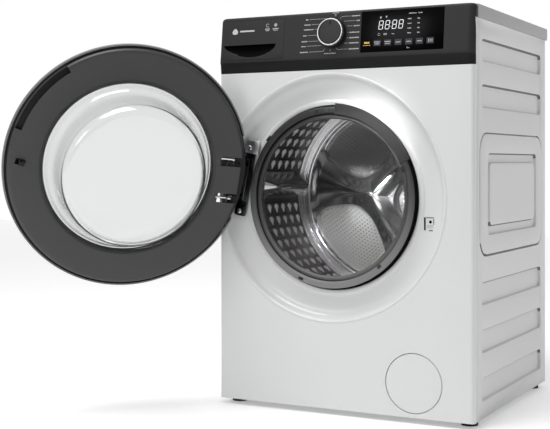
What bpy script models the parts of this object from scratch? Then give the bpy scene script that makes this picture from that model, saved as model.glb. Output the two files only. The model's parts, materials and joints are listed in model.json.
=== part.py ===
"""Front load washing machine, built as an assembly of separate named pieces.

Metres, +Z up. The origin is on the floor, under the middle of the cabinet. -Y is the front.
Most places below are given in the machine's own terms and placed by at(): x from the cabinet's
middle, y backwards from the front panel's face, z up from the cabinet's bottom edge.
"""
import math

import bmesh
import bpy
from mathutils import Matrix, Vector

# ---------------------------------------------------------------- driving dimensions
WIDTH = 0.596                # cabinet, side to side
DEPTH = 0.541                # front panel's face to the rear panel's outer face
FOOT_HEIGHT = 0.012          # floor to the cabinet's bottom edge
SIDE_HEIGHT = 0.8245         # cabinet's bottom edge to the side panels' top edge
TOP_HEIGHT = 0.853           # cabinet's bottom edge to the worktop
PANEL_BOTTOM = 0.7277        # lower edge of the control panel
LIP_HEIGHT = 0.752           # the control panel's most forward line
REAR_OVERHANG = 0.014        # worktop behind the rear panel
SHEET = 0.002                # steel sheet
GAP = 0.0004                 # clearance between touching pieces

PORT_X = -0.029              # porthole and drum axis
PORT_Z = 0.453
RECESS_R = 0.262             # dished recess in the front panel
PORT_HOLE_R = 0.2005         # hole that the boot is held in
TRIM_R = 0.199               # porthole trim ring
MOUTH_R = 0.168              # clear opening of the boot

DOOR_R = 0.268               # door shell's widest rim
DOOR_RING_R = 0.2585         # inner ring
DOOR_HOLE_R = 0.183          # where the glass shows
DOOR_CHORD = 0.2475          # the rim is cut straight here on the hinge side
DOOR_OPEN = math.radians(133.4)
SWING_STEPS = 12             # places in the swing at which the rim's clearance is cut
HINGE_REACH = 0.235          # porthole axis to hinge axis
HINGE_Y = -0.014             # hinge axis in front of the front panel
HINGE_TILT = math.radians(11.0)   # top of the axis leans to the right
HINGE_LEAN = math.radians(3.0)    # and forwards
ARM_PITCH = 0.083            # between the two hinge arms
ARM_MIDDLE = -0.0055         # their middle, along the axis

HOOK_X = PORT_X + 0.231 * math.cos(math.radians(-13.0))   # latch hook, on the free side
HOOK_Z = PORT_Z + 0.231 * math.sin(math.radians(-13.0))

DRUM_R = 0.232
DRUM_FRONT = 0.088
DRUM_BACK = 0.350
DRUM_RISE = 0.090            # pressed back: its middle stands forward of its rim
DRUM_MOUTH_R = 0.208         # opening in the drum's front
COLLAR_R = 0.213             # the tub's collar that holds the boot
LIFTER_ANGLES = tuple(math.radians(176 + 120 * i) for i in range(3))
TUB_R = 0.259
TUB_FRONT = 0.078
TUB_SPLIT = 0.236
TUB_BACK = 0.413
SHAFT_R = 0.0125
PULLEY_R = 0.135
PULLEY_Y = 0.4695
MOTOR_PULLEY_R = 0.011
MOTOR_Z = 0.095
SPRING_X = 0.250             # suspension springs, either side
SPRING_Y = 0.300

HATCH_X = 0.167              # filter hatch
HATCH_Z = 0.071
HATCH_R = 0.0622
FILTER_R = 0.036

DRAWER_LEFT = -0.2945
DRAWER_RIGHT = -0.137
DIAL_X = -0.0193
DIAL_Z = 0.806
DIAL_R = 0.0315
DISPLAY = (0.047, 0.2325, 0.7605, 0.8485)   # left, right, bottom, top

HALF = WIDTH / 2
FRONT_RETURN = 0.012         # front panel's side flanges
BEADS = ((0.7605, 0.047), (0.6655, 0.049), (0.2570, 0.048),
         (0.1585, 0.049), (0.0595, 0.049))       # height, width
BEAD_LENGTH, BEAD_DEPTH = 0.450, 0.0035
BEAD_Y = 0.275
FIELD = (0.374, 0.169, 0.4625)   # the large field between the beads: length, width, height of its middle
FEET = (("foot_front_left", -0.272, 0.048), ("foot_front_right", 0.272, 0.048),
        ("foot_rear_left", -0.272, 0.503), ("foot_rear_right", 0.272, 0.503))
VALVE_X, VALVE_Z = 0.205, 0.775
GLAND_X, GLAND_Z = 0.235, 0.66
FACE_SLOPE = 0.011 / (TOP_HEIGHT - 0.004 - LIP_HEIGHT)   # the face leans back towards the top

BIG, MIDDLE, SMALL = 28, 20, 12             # facets around large, middling and small turned parts

# ---------------------------------------------------------------- scene and helpers
for stale in list(bpy.data.objects):
    bpy.data.objects.remove(stale, do_unlink=True)

PARTS = bpy.data.collections.new("front_load_washing_machine")
CUTTERS = bpy.data.collections.new("cutters")
for collection in (PARTS, CUTTERS):
    bpy.context.scene.collection.children.link(collection)


def material(name, color, roughness, metallic=0.0, alpha=1.0):
    made = bpy.data.materials.new(name)
    made.use_nodes = True
    shader = made.node_tree.nodes["Principled BSDF"]
    shader.inputs["Base Color"].default_value = (*color, 1.0)
    shader.inputs["Roughness"].default_value = roughness
    shader.inputs["Metallic"].default_value = metallic
    shader.inputs["Alpha"].default_value = alpha
    made.diffuse_color = (*color, alpha)
    return made


WHITE = material("white_enamel", (0.84, 0.85, 0.85), 0.35)
SIDE_GREY = material("pale_grey_enamel", (0.66, 0.66, 0.66), 0.45)
TOP_GREY = material("worktop_grey", (0.60, 0.60, 0.60), 0.5)
BLACK = material("black_plastic", (0.025, 0.025, 0.027), 0.4)
GLOSS_BLACK = material("gloss_black", (0.005, 0.005, 0.006), 0.08)
DARK_GREY = material("dark_grey_plastic", (0.07, 0.07, 0.072), 0.45)
SHELL_GREY = material("door_shell_grey", (0.12, 0.12, 0.125), 0.35)
RUBBER = material("grey_rubber", (0.10, 0.10, 0.10), 0.6)
GLASS = material("glass", (0.9, 0.92, 0.92), 0.03, alpha=0.35)
STAINLESS = material("stainless", (0.62, 0.62, 0.62), 0.28, 1.0)
ZINC = material("zinc_plate", (0.5, 0.5, 0.52), 0.35, 1.0)
GALVANISED = material("galvanised", (0.55, 0.56, 0.57), 0.45, 1.0)
ALUMINIUM = material("cast_aluminium", (0.6, 0.6, 0.6), 0.5, 1.0)
TUB_PLASTIC = material("tub_plastic", (0.6, 0.6, 0.58), 0.5)
CONCRETE = material("concrete", (0.42, 0.42, 0.40), 0.9)
BELT = material("belt_rubber", (0.02, 0.02, 0.02), 0.7)
BOARD = material("circuit_board", (0.03, 0.18, 0.06), 0.5)


def at(x, y, z):
    """World place of a point given in the machine's own terms."""
    return Vector((x, y - DEPTH / 2, z + FOOT_HEIGHT))


def along_y(x, y, z):
    """Frame whose local Z runs backwards through the machine."""
    return Matrix.Translation(at(x, y, z)) @ Matrix.Rotation(-math.pi / 2, 4, "X")


PORTHOLE = along_y(PORT_X, 0.0, PORT_Z)
HINGE_AXIS = Vector((math.sin(HINGE_TILT) * math.cos(HINGE_LEAN), -math.sin(HINGE_LEAN),
                     math.cos(HINGE_TILT) * math.cos(HINGE_LEAN)))
HINGE_POINT = at(PORT_X - HINGE_REACH * math.cos(HINGE_TILT), HINGE_Y,
                 PORT_Z + HINGE_REACH * math.sin(HINGE_TILT))

# In hinge_frame, local -X points from the door's middle to the hinge, local Y forwards,
# and local Z up the porthole's tilted diameter; its origin is on the porthole's axis.
HINGE_FRAME = Matrix.Translation(at(PORT_X, 0.0, PORT_Z)) @ Matrix.Rotation(HINGE_TILT, 4, "Y")


def place(item, frame):
    item.matrix_basis = frame


def add(name, data, finish=None, frame=Matrix.Identity(4)):
    """Link an object as a part, or as a cutter when it has no finish."""
    item = bpy.data.objects.new(name, data)
    if finish is None:
        CUTTERS.objects.link(item)
        item.hide_render = True
        item.display_type = "WIRE"
    else:
        PARTS.objects.link(item)
        data.materials.append(finish)
    place(item, frame)
    return item


def box(name, low, high, finish=None, frame=None):
    """A block between two corners, in the machine's terms or in a frame of its own."""
    low, high = Vector(low), Vector(high)
    mesh = bpy.data.meshes.new(name)
    bm = bmesh.new()
    bmesh.ops.create_cube(bm, size=1.0, matrix=Matrix.Diagonal((*(high - low), 1.0)))
    bm.to_mesh(mesh)
    bm.free()
    middle = (low + high) / 2
    where = Matrix.Translation(at(*middle)) if frame is None else frame @ Matrix.Translation(middle)
    return add(name, mesh, finish, where)


def rod(name, start, end, radius, finish=None, steps=SMALL, end_radius=None):
    """A solid cylinder or cone between two places in the world."""
    run = end - start
    mesh = bpy.data.meshes.new(name)
    bm = bmesh.new()
    bmesh.ops.create_cone(bm, cap_ends=True, segments=steps, radius1=radius,
                          radius2=radius if end_radius is None else end_radius, depth=run.length)
    bm.to_mesh(mesh)
    bm.free()
    turn = run.to_track_quat("Z", "Y").to_matrix().to_4x4()
    return add(name, mesh, finish, Matrix.Translation((start + end) / 2) @ turn)


def wall(path, thickness):
    """Closed outline of a sheet that follows a path, its thickness laid on the path's left."""
    points = [Vector(p) for p in path]
    offset = []
    for i, point in enumerate(points):
        before = (point - points[i - 1]).normalized() if i else None
        after = (points[i + 1] - point).normalized() if i + 1 < len(points) else None
        first, second = before or after, after or before
        normal = Vector((-first.y - second.y, first.x + second.x)).normalized()
        stretch = normal.dot(Vector((-first.y, first.x)))
        offset.append(point + normal * thickness / max(stretch, 0.5))
    return [tuple(p) for p in points] + [tuple(p) for p in reversed(offset)]


def turned(name, outline, finish=None, frame=PORTHOLE, steps=MIDDLE):
    """A turned solid from (radius, height) points, with a Screw modifier around local Z."""
    outline = [(0.0 if p[0] < 0.0001 else p[0], p[1]) for p in outline]
    area = sum(a[0] * b[1] - b[0] * a[1] for a, b in zip(outline, outline[1:] + outline[:1]))
    if area > 0:
        outline = outline[::-1]
    on_axis = outline[0][0] == 0.0 or outline[-1][0] == 0.0
    while on_axis and not (outline[0][0] == 0.0 and outline[-1][0] == 0.0):
        outline = outline[1:] + outline[:1]
    mesh = bpy.data.meshes.new(name)
    bm = bmesh.new()
    verts = [bm.verts.new((p[0], 0.0, p[1])) for p in outline]
    for a, b in zip(verts, verts[1:]):
        bm.edges.new((a, b))
    if not on_axis:
        bm.edges.new((verts[-1], verts[0]))
    bm.to_mesh(mesh)
    bm.free()
    item = add(name, mesh, finish, frame)
    screw = item.modifiers.new("turn", "SCREW")
    screw.axis = "Z"
    screw.steps = steps
    screw.render_steps = steps
    screw.use_merge_vertices = True
    screw.merge_threshold = 0.00001
    return item


def plate(name, outlines, thickness, finish=None, frame=Matrix.Identity(4)):
    """A flat piece with holes: closed outlines in local X and Y, as thick as given along local Z."""
    curve = bpy.data.curves.new(name, "CURVE")
    curve.dimensions = "2D"
    curve.fill_mode = "BOTH"
    curve.extrude = thickness / 2
    for outline in outlines:
        spline = curve.splines.new("POLY")
        spline.points.add(len(outline) - 1)
        for point, place_2d in zip(spline.points, outline):
            point.co = (place_2d[0], place_2d[1], 0.0, 1.0)
        spline.use_cyclic_u = True
    flat = bpy.data.objects.new(name + "_outline", curve)
    bpy.context.scene.collection.objects.link(flat)
    mesh = bpy.data.meshes.new_from_object(flat.evaluated_get(bpy.context.evaluated_depsgraph_get()))
    bpy.data.objects.remove(flat, do_unlink=True)
    bm = bmesh.new()
    bm.from_mesh(mesh)
    bmesh.ops.remove_doubles(bm, verts=bm.verts, dist=0.00001)
    bmesh.ops.recalc_face_normals(bm, faces=bm.faces)
    bm.to_mesh(mesh)
    bm.free()
    mesh.name = name
    mesh.materials.clear()
    return add(name, mesh, finish, frame)


def tube(name, route, radius, finish=None, resolution=2):
    """A solid round bar or hose along a route of world places."""
    curve = bpy.data.curves.new(name, "CURVE")
    curve.dimensions = "3D"
    curve.bevel_depth = radius
    curve.bevel_resolution = resolution
    curve.use_fill_caps = True
    spline = curve.splines.new("POLY")
    spline.points.add(len(route) - 1)
    for point, where in zip(spline.points, route):
        point.co = (*where, 1.0)
    bar = bpy.data.objects.new(name + "_route", curve)
    bpy.context.scene.collection.objects.link(bar)
    mesh = bpy.data.meshes.new_from_object(bar.evaluated_get(bpy.context.evaluated_depsgraph_get()))
    bpy.data.objects.remove(bar, do_unlink=True)
    bm = bmesh.new()
    bm.from_mesh(mesh)
    bmesh.ops.remove_doubles(bm, verts=bm.verts, dist=0.00001)
    bmesh.ops.recalc_face_normals(bm, faces=bm.faces)
    bm.to_mesh(mesh)
    bm.free()
    mesh.name = name
    mesh.materials.clear()
    return add(name, mesh, finish)


def carve(item, cutter, operation="DIFFERENCE"):
    step = item.modifiers.new(cutter.name, "BOOLEAN")
    step.operation = operation
    step.solver = "EXACT"
    step.object = cutter
    return item


def merge(item, extra):
    return carve(item, extra, "UNION")


def circle(radius, steps, middle=(0.0, 0.0)):
    turn = 2 * math.pi / steps
    return [(middle[0] + radius * math.cos(i * turn), middle[1] + radius * math.sin(i * turn))
            for i in range(steps)]


def rounded(width, height, radius, steps=4, middle=(0.0, 0.0)):
    """Outline of a rectangle with round corners."""
    points = []
    for corner, (sx, sy) in enumerate(((1, 1), (-1, 1), (-1, -1), (1, -1))):
        for i in range(steps + 1):
            angle = math.pi / 2 * (corner + i / steps)
            points.append((middle[0] + sx * (width / 2 - radius) + radius * math.cos(angle),
                           middle[1] + sy * (height / 2 - radius) + radius * math.sin(angle)))
    return points


def bend(points, radius, steps=4):
    """A route with each inner corner of a polyline rounded off."""
    route = [points[0]]
    for before, corner, after in zip(points, points[1:], points[2:]):
        start = corner + (before - corner).normalized() * radius
        end = corner + (after - corner).normalized() * radius
        for i in range(steps + 1):
            s = i / steps
            route.append(start * (1 - s) ** 2 + corner * 2 * s * (1 - s) + end * s ** 2)
    return route + [points[-1]]


def pivot(name, where, turn=Matrix.Identity(4)):
    """An empty on a joint's axis, to hang moving pieces on."""
    empty = bpy.data.objects.new(name, None)
    PARTS.objects.link(empty)
    empty.matrix_basis = Matrix.Translation(where) @ turn
    return empty


def hang(item, empty, where):
    """Parent a piece that was placed with the joint shut to the empty at that joint."""
    item.parent = empty
    item.matrix_basis = Matrix.Translation(-where) @ item.matrix_basis
    return item


# ---------------------------------------------------------------- cabinet

def side_panel(name, side):
    """Pressed sheet with five long beads and a stepped square field."""
    front = FRONT_RETURN + GAP
    outer = Matrix.Translation(at(side * HALF, 0.0, 0.0)) @ Matrix.Rotation(math.pi / 2, 4, "Y") \
        @ Matrix.Rotation(math.pi / 2, 4, "Z")
    low = (side * HALF if side < 0 else HALF - SHEET, front, 0.0)
    high = (side * HALF + SHEET if side < 0 else HALF, DEPTH - SHEET - GAP, SIDE_HEIGHT)
    panel = box(name, low, high, SIDE_GREY)
    shapes = [(BEAD_LENGTH, height, 0.012, z) for z, height in BEADS]
    shapes.append((FIELD[0], FIELD[1], 0.020, FIELD[2]))
    for number, (length, height, radius, z) in enumerate(shapes):
        for grow, depth, operation in ((SHEET, BEAD_DEPTH + SHEET, "UNION"),
                                       (0.0, BEAD_DEPTH, "DIFFERENCE")):
            outline = rounded(length + 2 * grow, height + 2 * grow, radius + grow, 2)
            outer_face = 0.0005 if operation == "UNION" else -0.001
            middle = side * (HALF - (depth + outer_face) / 2)
            tool = plate(f"{name}_press_{number}_{operation.lower()}", [outline], depth - outer_face, None,
                         Matrix.Translation(at(middle, BEAD_Y, z)) @ outer.to_3x3().to_4x4())
            carve(panel, tool, operation)
    near, far = sorted((side * (HALF - 0.001), side * (HALF - 0.060)))
    hanger = box(f"{name}_hanger", (near, SPRING_Y - 0.015, 0.796), (far, SPRING_Y + 0.015, 0.800))
    merge(panel, hanger)
    return panel


def build_cabinet():
    side_panel("side_panel_left", -1)
    side_panel("side_panel_right", 1)

    # Front panel: face, side flanges, dished recess, hinge pad and filter opening.
    front = box("front_panel", (-HALF, 0.0, 0.0), (HALF, FRONT_RETURN, PANEL_BOTTOM - GAP), WHITE)
    carve(front, box("front_panel_hollow", (-HALF + SHEET, SHEET, SHEET),
                     (HALF - SHEET, 0.05, PANEL_BOTTOM - SHEET)))
    carve(front, turned("recess_hole", [(0.0, -0.01), (RECESS_R, -0.01), (RECESS_R, 0.05), (0.0, 0.05)],
                        None, steps=BIG))
    dish = [(RECESS_R + 0.004, 0.0005), (RECESS_R, 0.0006), (0.2600, 0.0120), (0.2500, 0.0222),
            (0.235, 0.0245), (0.213, 0.0255), (0.2095, 0.0225), (PORT_HOLE_R, 0.0225)]
    merge(front, turned("recess_dish", wall(dish, -0.0012), None, steps=BIG))
    pad = box("hinge_pad", (-0.2320, 0.0192, -0.090), (-0.2040, 0.0245, 0.082), None, HINGE_FRAME)
    merge(front, pad)
    carve(front, turned("hatch_hole", [(0.0, -0.01), (HATCH_R + 0.0012, -0.01),
                                       (HATCH_R + 0.0012, 0.03), (0.0, 0.03)],
                        None, along_y(HATCH_X, 0.0, HATCH_Z), MIDDLE))
    carve(front, box("lock_slot", (HOOK_X - 0.0175, -0.01, HOOK_Z - 0.0065),
                     (HOOK_X + 0.0070, 0.04, HOOK_Z + 0.0065)))
    box("door_lock", (HOOK_X - 0.018, 0.0285, HOOK_Z - 0.045), (HOOK_X + 0.010, 0.060, HOOK_Z + 0.045),
        BLACK)

    # Base frame: a tray with a turned-up rim, carrying the feet.
    inner = HALF - SHEET - GAP
    base = box("base_frame", (-inner, FRONT_RETURN + GAP, 0.0), (inner, DEPTH - SHEET - GAP, 0.030),
               GALVANISED)
    carve(base, box("base_hollow", (-inner + SHEET, FRONT_RETURN + GAP + SHEET, SHEET),
                    (inner - SHEET, DEPTH - 2 * SHEET - GAP, 0.05)))
    for name, x, y in FEET:
        carve(base, rod(name + "_hole", at(x, y, -0.01), at(x, y, 0.02), 0.0056))

    # Rear panel, with a stamped bulge behind the belt, and holes for the valve and the cord gland.
    rear = box("rear_panel", (-HALF + SHEET + GAP, DEPTH - SHEET, 0.0),
               (HALF - SHEET - GAP, DEPTH, SIDE_HEIGHT), GALVANISED)
    bulge = along_y(PORT_X, DEPTH, 0.32)
    merge(rear, plate("rear_bulge", [rounded(0.34, 0.46, 0.12, 6)], 0.012, None,
                      bulge @ Matrix.Translation((0.0, 0.0, 0.0045))))
    carve(rear, plate("rear_bulge_hollow", [rounded(0.336, 0.456, 0.118, 6)], 0.012, None,
                      bulge @ Matrix.Translation((0.0, 0.0, 0.0022))))
    carve(rear, rod("valve_hole", at(VALVE_X, DEPTH - 0.02, VALVE_Z), at(VALVE_X, DEPTH + 0.02, VALVE_Z),
                    0.0135))
    carve(rear, rod("gland_hole", at(GLAND_X, DEPTH - 0.02, GLAND_Z), at(GLAND_X, DEPTH + 0.02, GLAND_Z),
                    0.0085))
    gland = at(GLAND_X, DEPTH, GLAND_Z)
    neck = turned("cord_gland", [(0.0, -0.010), (0.008, -0.010), (0.008, 0.0005), (0.0125, 0.0005),
                                 (0.0125, 0.004), (0.0095, 0.0055), (0.0085, 0.012), (0.0, 0.012)],
                  BLACK, along_y(GLAND_X, DEPTH, GLAND_Z), SMALL)
    carve(neck, rod("gland_bore", gland + Vector((0, 0.003, 0)), gland + Vector((0, 0.02, 0)), 0.0038))

    # Worktop: a shallow lid with a rim.
    back = DEPTH + REAR_OVERHANG
    top = box("top_cover", (-HALF - 0.0005, 0.0252, SIDE_HEIGHT + GAP), (HALF + 0.0005, back, TOP_HEIGHT),
              TOP_GREY)
    carve(top, box("top_hollow", (-HALF + 0.012, 0.037, 0.8),
                   (HALF - 0.012, back - 0.004, TOP_HEIGHT - 0.012)))


def build_feet():
    """Levelling feet: a rubber-shod pad on a threaded stem, turning in the base frame."""
    profile = [(0.0, -FOOT_HEIGHT), (0.0180, -FOOT_HEIGHT), (0.0180, -0.0065), (0.0115, -0.0045),
               (0.0115, -0.0008), (0.0050, -0.0008), (0.0050, 0.026), (0.0, 0.026)]
    for name, x, y in FEET:
        turned(name, profile, BLACK, Matrix.Translation(at(x, y, 0.0)), SMALL)


# ---------------------------------------------------------------- control panel

def face_y(z):
    """Depth of the control panel's sloping face at a height."""
    return -0.002 + FACE_SLOPE * (z - LIP_HEIGHT)


def panel_section(inset, back_low, back_high):
    """Side outline (y, z) of the control panel, or of its hollow when inset."""
    top = TOP_HEIGHT - inset
    return [(0.0012 + inset, PANEL_BOTTOM + inset), (face_y(LIP_HEIGHT) + inset, LIP_HEIGHT),
            (face_y(top - 0.004) + inset, top - 0.004), (face_y(top) + 0.004 + inset, top),
            (back_high, top), (back_high, SIDE_HEIGHT + GAP + inset), (back_low, SIDE_HEIGHT + GAP + inset),
            (back_low, PANEL_BOTTOM + inset)]


def across(width):
    """Frame for an outline in (y, z) that is extruded sideways."""
    turn = Matrix(((0, 0, 1, 0), (1, 0, 0, 0), (0, 1, 0, 0), (0, 0, 0, 1)))
    return Matrix.Translation(at(width, 0.0, 0.0)) @ turn


def build_control_panel():
    panel = plate("control_panel", [panel_section(0.0, 0.0118, 0.0248)], WIDTH, BLACK, across(0.0))
    hollow = [(0.0045, PANEL_BOTTOM - 0.01), (0.0010, LIP_HEIGHT), (0.0118, TOP_HEIGHT - 0.004),
              (0.05, TOP_HEIGHT - 0.004),
              (0.05, PANEL_BOTTOM - 0.01)]
    carve(panel, plate("control_panel_hollow", [hollow], WIDTH - 0.005, None, across(0.0)))
    carve(panel, box("drawer_mouth", (DRAWER_LEFT, -0.02, LIP_HEIGHT + 0.003),
                     (DRAWER_RIGHT, 0.016, TOP_HEIGHT - 0.0075)))
    left, right, low, high = DISPLAY
    carve(panel, box("display_seat", (left, -0.02, low), (right, 0.02, high)))
    carve(panel, rod("dial_hole", at(DIAL_X, -0.02, DIAL_Z), at(DIAL_X, 0.03, DIAL_Z), 0.006))
    lean = math.atan(FACE_SLOPE)
    middle_z = (low + high) / 2
    window = Matrix.Translation(at((left + right) / 2, face_y(middle_z) + 0.0012, middle_z)) \
        @ Matrix.Rotation(-lean, 4, "X")
    box("display_window", (-(right - left) / 2 + GAP, -0.0012, -(high - low) / 2 + GAP),
        ((right - left) / 2 - GAP, 0.0012, (high - low) / 2 - GAP), GLOSS_BLACK, window)
    board = Matrix.Translation(at(0.10, 0.0235, 0.79))
    box("control_board", (-0.165, -0.004, -0.032), (0.15, 0.0, 0.032), BOARD, board)

    # Program dial: a knob with a chromed skirt, on a spindle through the panel.
    dial = along_y(DIAL_X, face_y(DIAL_Z), DIAL_Z) @ Matrix.Rotation(-lean, 4, "X")
    turned("program_dial", [(0.0, -0.0165), (DIAL_R - 0.0035, -0.0165), (DIAL_R - 0.0015, -0.0150),
                            (DIAL_R, -0.0020), (DIAL_R, -0.0008), (0.0035, -0.0008), (0.0035, 0.0125),
                            (0.0, 0.0125)],
           BLACK, dial, MIDDLE)
    return dial


def build_drawer():
    """Detergent drawer: black front with a scooped pull, a tray with three compartments."""
    low, high = LIP_HEIGHT + 0.003 + GAP, TOP_HEIGHT - 0.0075 - GAP
    left, right = DRAWER_LEFT + GAP, DRAWER_RIGHT - GAP
    front = [(face_y(low), low), (face_y(high), high), (0.0165, high), (0.0165, low)]
    face = plate("drawer_front", [front], right - left, BLACK, across((left + right) / 2))
    scoop = Matrix.Translation(at((left + right) / 2, 0.0, 0.789)) @ Matrix.Rotation(math.pi / 2, 4, "X")
    crescent = [(0.066 * math.cos(a), 0.026 * math.sin(a)) for a in
                [math.pi + math.pi * i / 12 for i in range(13)]]
    carve(face, plate("pull_scoop", [crescent], 0.024, None, scoop))
    tray_low, tray_high, tray_back = 0.762, 0.815, 0.250
    tray = box("drawer_tray", (left + 0.008, 0.017, tray_low), (right - 0.008, tray_back, tray_high),
               DARK_GREY)
    step = (right - left - 0.016 - 0.002) / 3
    for number in range(3):
        start = left + 0.008 + 0.002 + number * step
        carve(tray, box(f"compartment_{number}", (start, 0.019, tray_low + 0.002),
                        (start + step - 0.002, tray_back - 0.002, tray_high + 0.01)))
    shell = box("drawer_housing", (left + 0.005, 0.0268, tray_low - 0.003),
                (right - 0.0025, 0.256, tray_high + 0.008),
                TUB_PLASTIC)
    carve(shell, box("housing_hollow", (left + 0.007, 0.0, tray_low - 0.001),
                     (right - 0.0045, 0.254, tray_high + 0.005)))


# ---------------------------------------------------------------- door
def slot_heights():
    return [ARM_MIDDLE + side * ARM_PITCH / 2 for side in (1, -1)]


def build_door():
    door = pivot("door_axis", HINGE_POINT, Matrix.Rotation(-DOOR_OPEN, 4, HINGE_AXIS))
    hinge_side = box("door_chord", (-0.30, -0.10, -0.30), (-DOOR_CHORD, 0.10, 0.30), None, HINGE_FRAME)
    hang(hinge_side, door, HINGE_POINT)

    shell = turned("door_shell", wall([(0.196, -0.0455), (0.225, -0.0468), (0.250, -0.0410),
                                       (0.2635, -0.0280), (DOOR_R, -0.0150), (0.2665, -0.0060)], 0.0030),
                   SHELL_GREY, steps=BIG)
    carve(hang(shell, door, HINGE_POINT), hinge_side)
    # The rim is shaved where it would meet the front panel's recess anywhere in the door's swing.
    rooms = []
    for number in range(SWING_STEPS):
        swing = Matrix.Rotation(-DOOR_OPEN * number / SWING_STEPS, 4, HINGE_AXIS)
        turn = Matrix.Translation(HINGE_POINT) @ swing @ Matrix.Translation(-HINGE_POINT)
        rooms.append(turned(f"swing_clearance_{number + 1}",
                            [(0.2582, -0.0015), (0.3200, -0.0015), (0.3200, 0.0300), (0.2480, 0.0300),
                             (0.2480, 0.0205), (0.2582, 0.0105)], None, turn @ PORTHOLE, BIG))
        carve(shell, rooms[-1])
    window = turned("door_window", [(0.0, -0.0500), (0.120, -0.0495), (0.185, -0.0475), (0.1955, -0.0455),
                                    (0.1955, -0.0425), (0.0, -0.0460)], GLASS, steps=BIG)
    hang(window, door, HINGE_POINT)

    ring = turned("door_inner_ring", wall([(DOOR_HOLE_R, -0.0030), (0.1855, 0.0025), (0.192, 0.0045),
                                           (0.250, 0.0045), (0.2560, 0.0025), (DOOR_RING_R, -0.0025),
                                           (DOOR_RING_R, -0.0280)], -0.0030),
                  DARK_GREY, steps=BIG)
    carve(hang(ring, door, HINGE_POINT), hinge_side)
    for room in rooms:
        carve(ring, room)
    for number, height in enumerate(slot_heights()):
        slot = box(f"arm_slot_{number}", (-0.26, -0.05, height - 0.0105), (-0.2005, 0.02, height + 0.0105),
                   None, HINGE_FRAME)
        carve(ring, hang(slot, door, HINGE_POINT))
    # Finger pull: a long notch in the ring's rim on the free side, towards the top.
    notch = turned("finger_notch", [(0.243, -0.008), (0.30, -0.008), (0.30, 0.03), (0.243, 0.03)], None,
                   steps=BIG)
    keep = [(0.30 * math.cos(a), 0.30 * math.sin(a)) for a in (math.radians(-41), math.radians(-3))]
    wedge = plate("notch_reach", [[(0.0, 0.0)] + keep], 0.08, None, PORTHOLE)
    carve(notch, wedge, "INTERSECT")
    hang(notch, door, HINGE_POINT)
    hang(wedge, door, HINGE_POINT)
    carve(ring, notch)
    window_cut = box("hook_window", (HOOK_X - 0.0105, -0.02, HOOK_Z - 0.0065),
                     (HOOK_X + 0.0105, 0.02, HOOK_Z + 0.0065))
    carve(ring, hang(window_cut, door, HINGE_POINT))

    # Glass bowl: a flange behind the ring, a sloping wall and a flat end set towards the free side.
    path = [(0.1890, -0.0075), (0.1815, -0.0075), (0.1765, 0.0040), (0.1650, 0.0180), (0.1600, 0.0400),
            (0.1520, 0.0850), (0.1430, 0.0980), (0.1300, 0.1015), (0.0, 0.1030)]
    glass = turned("door_glass", wall(path, 0.0035), GLASS, steps=BIG)
    glass_mesh = bpy.data.meshes.new_from_object(glass.evaluated_get(bpy.context.evaluated_depsgraph_get()))
    glass.modifiers.clear()
    glass.data = glass_mesh
    reach, shift = 0.103, 0.003
    for vertex in glass_mesh.vertices:
        vertex.co.x += shift * max(0.0, min(1.0, vertex.co.z / reach))
    hang(glass, door, HINGE_POINT)

    # Latch hook, sprung in the ring, opposite the lock.
    hook = box("door_hook", (HOOK_X - 0.0080, -0.0160, HOOK_Z - 0.0045),
               (HOOK_X - 0.0030, 0.0240, HOOK_Z + 0.0045),
               BLACK)
    nose = box("hook_nose", (HOOK_X - 0.0050, 0.0180, HOOK_Z - 0.0045),
               (HOOK_X + 0.0045, 0.0240, HOOK_Z + 0.0045))
    merge(hook, nose)
    hang(hook, door, HINGE_POINT)
    hang(nose, door, HINGE_POINT)

    # Hinge: a screwed bracket with two lugs, two arms with barrels, two pins.
    axis_frame = Matrix.Translation(HINGE_POINT) @ HINGE_FRAME.to_3x3().to_4x4()
    bracket = box("hinge_bracket", (-0.2290, 0.0155, -0.086), (-0.2005, 0.0188, 0.078), ZINC, HINGE_FRAME)
    merge(bracket, box("bracket_ear", (-0.2290, 0.0155, 0.056), (-0.1935, 0.0188, 0.084), None, HINGE_FRAME))
    for number, height in enumerate(slot_heights()):
        side = 1 if number == 0 else -1
        middle = HINGE_POINT + HINGE_AXIS * height
        tag = "upper" if number == 0 else "lower"
        lug = height - side * 0.0048
        merge(bracket, box(f"lug_{tag}", (-0.0015, -0.0060, lug - 0.0025), (0.0130, 0.0315, lug + 0.0025),
                           None, axis_frame))
        merge(bracket, rod(f"lug_end_{tag}", HINGE_POINT + HINGE_AXIS * (lug - 0.0023),
                           HINGE_POINT + HINGE_AXIS * (lug + 0.0023), 0.0064))
        low, high = middle - HINGE_AXIS * 0.012, middle + HINGE_AXIS * 0.012
        carve(bracket, rod(f"lug_bore_{tag}", low, high, 0.0034, steps=16))
        arm_low, arm_high = sorted((height + side * 0.0002, height + side * 0.0050))
        arm = rod(f"hinge_arm_{tag}", HINGE_POINT + HINGE_AXIS * arm_low,
                  HINGE_POINT + HINGE_AXIS * arm_high,
                  0.0070, ZINC)
        blade = box(f"arm_blade_{tag}", (0.0, -0.0060, arm_low + 0.0003),
                    (0.0450, 0.0040, arm_high - 0.0003),
                    None, axis_frame)
        merge(arm, blade)
        flange = box(f"arm_flange_{tag}", (0.0380, -0.0060, height - 0.009),
                     (0.0450, 0.0145, height + 0.009),
                     None, axis_frame)
        merge(arm, flange)
        carve(arm, rod(f"arm_bore_{tag}", low, high, 0.0034, steps=16))
        pin = rod(f"hinge_pin_{tag}", middle - HINGE_AXIS * 0.0085, middle + HINGE_AXIS * 0.0068, 0.0030,
                  STAINLESS, 16)
        if side < 0:
            place(pin, Matrix.Translation(HINGE_AXIS * 0.0017) @ pin.matrix_basis)
        for item in (arm, blade, flange, bpy.data.objects[f"arm_bore_{tag}"]):
            hang(item, door, HINGE_POINT)
        screw_z = (0.068, -0.076)[number]
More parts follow.
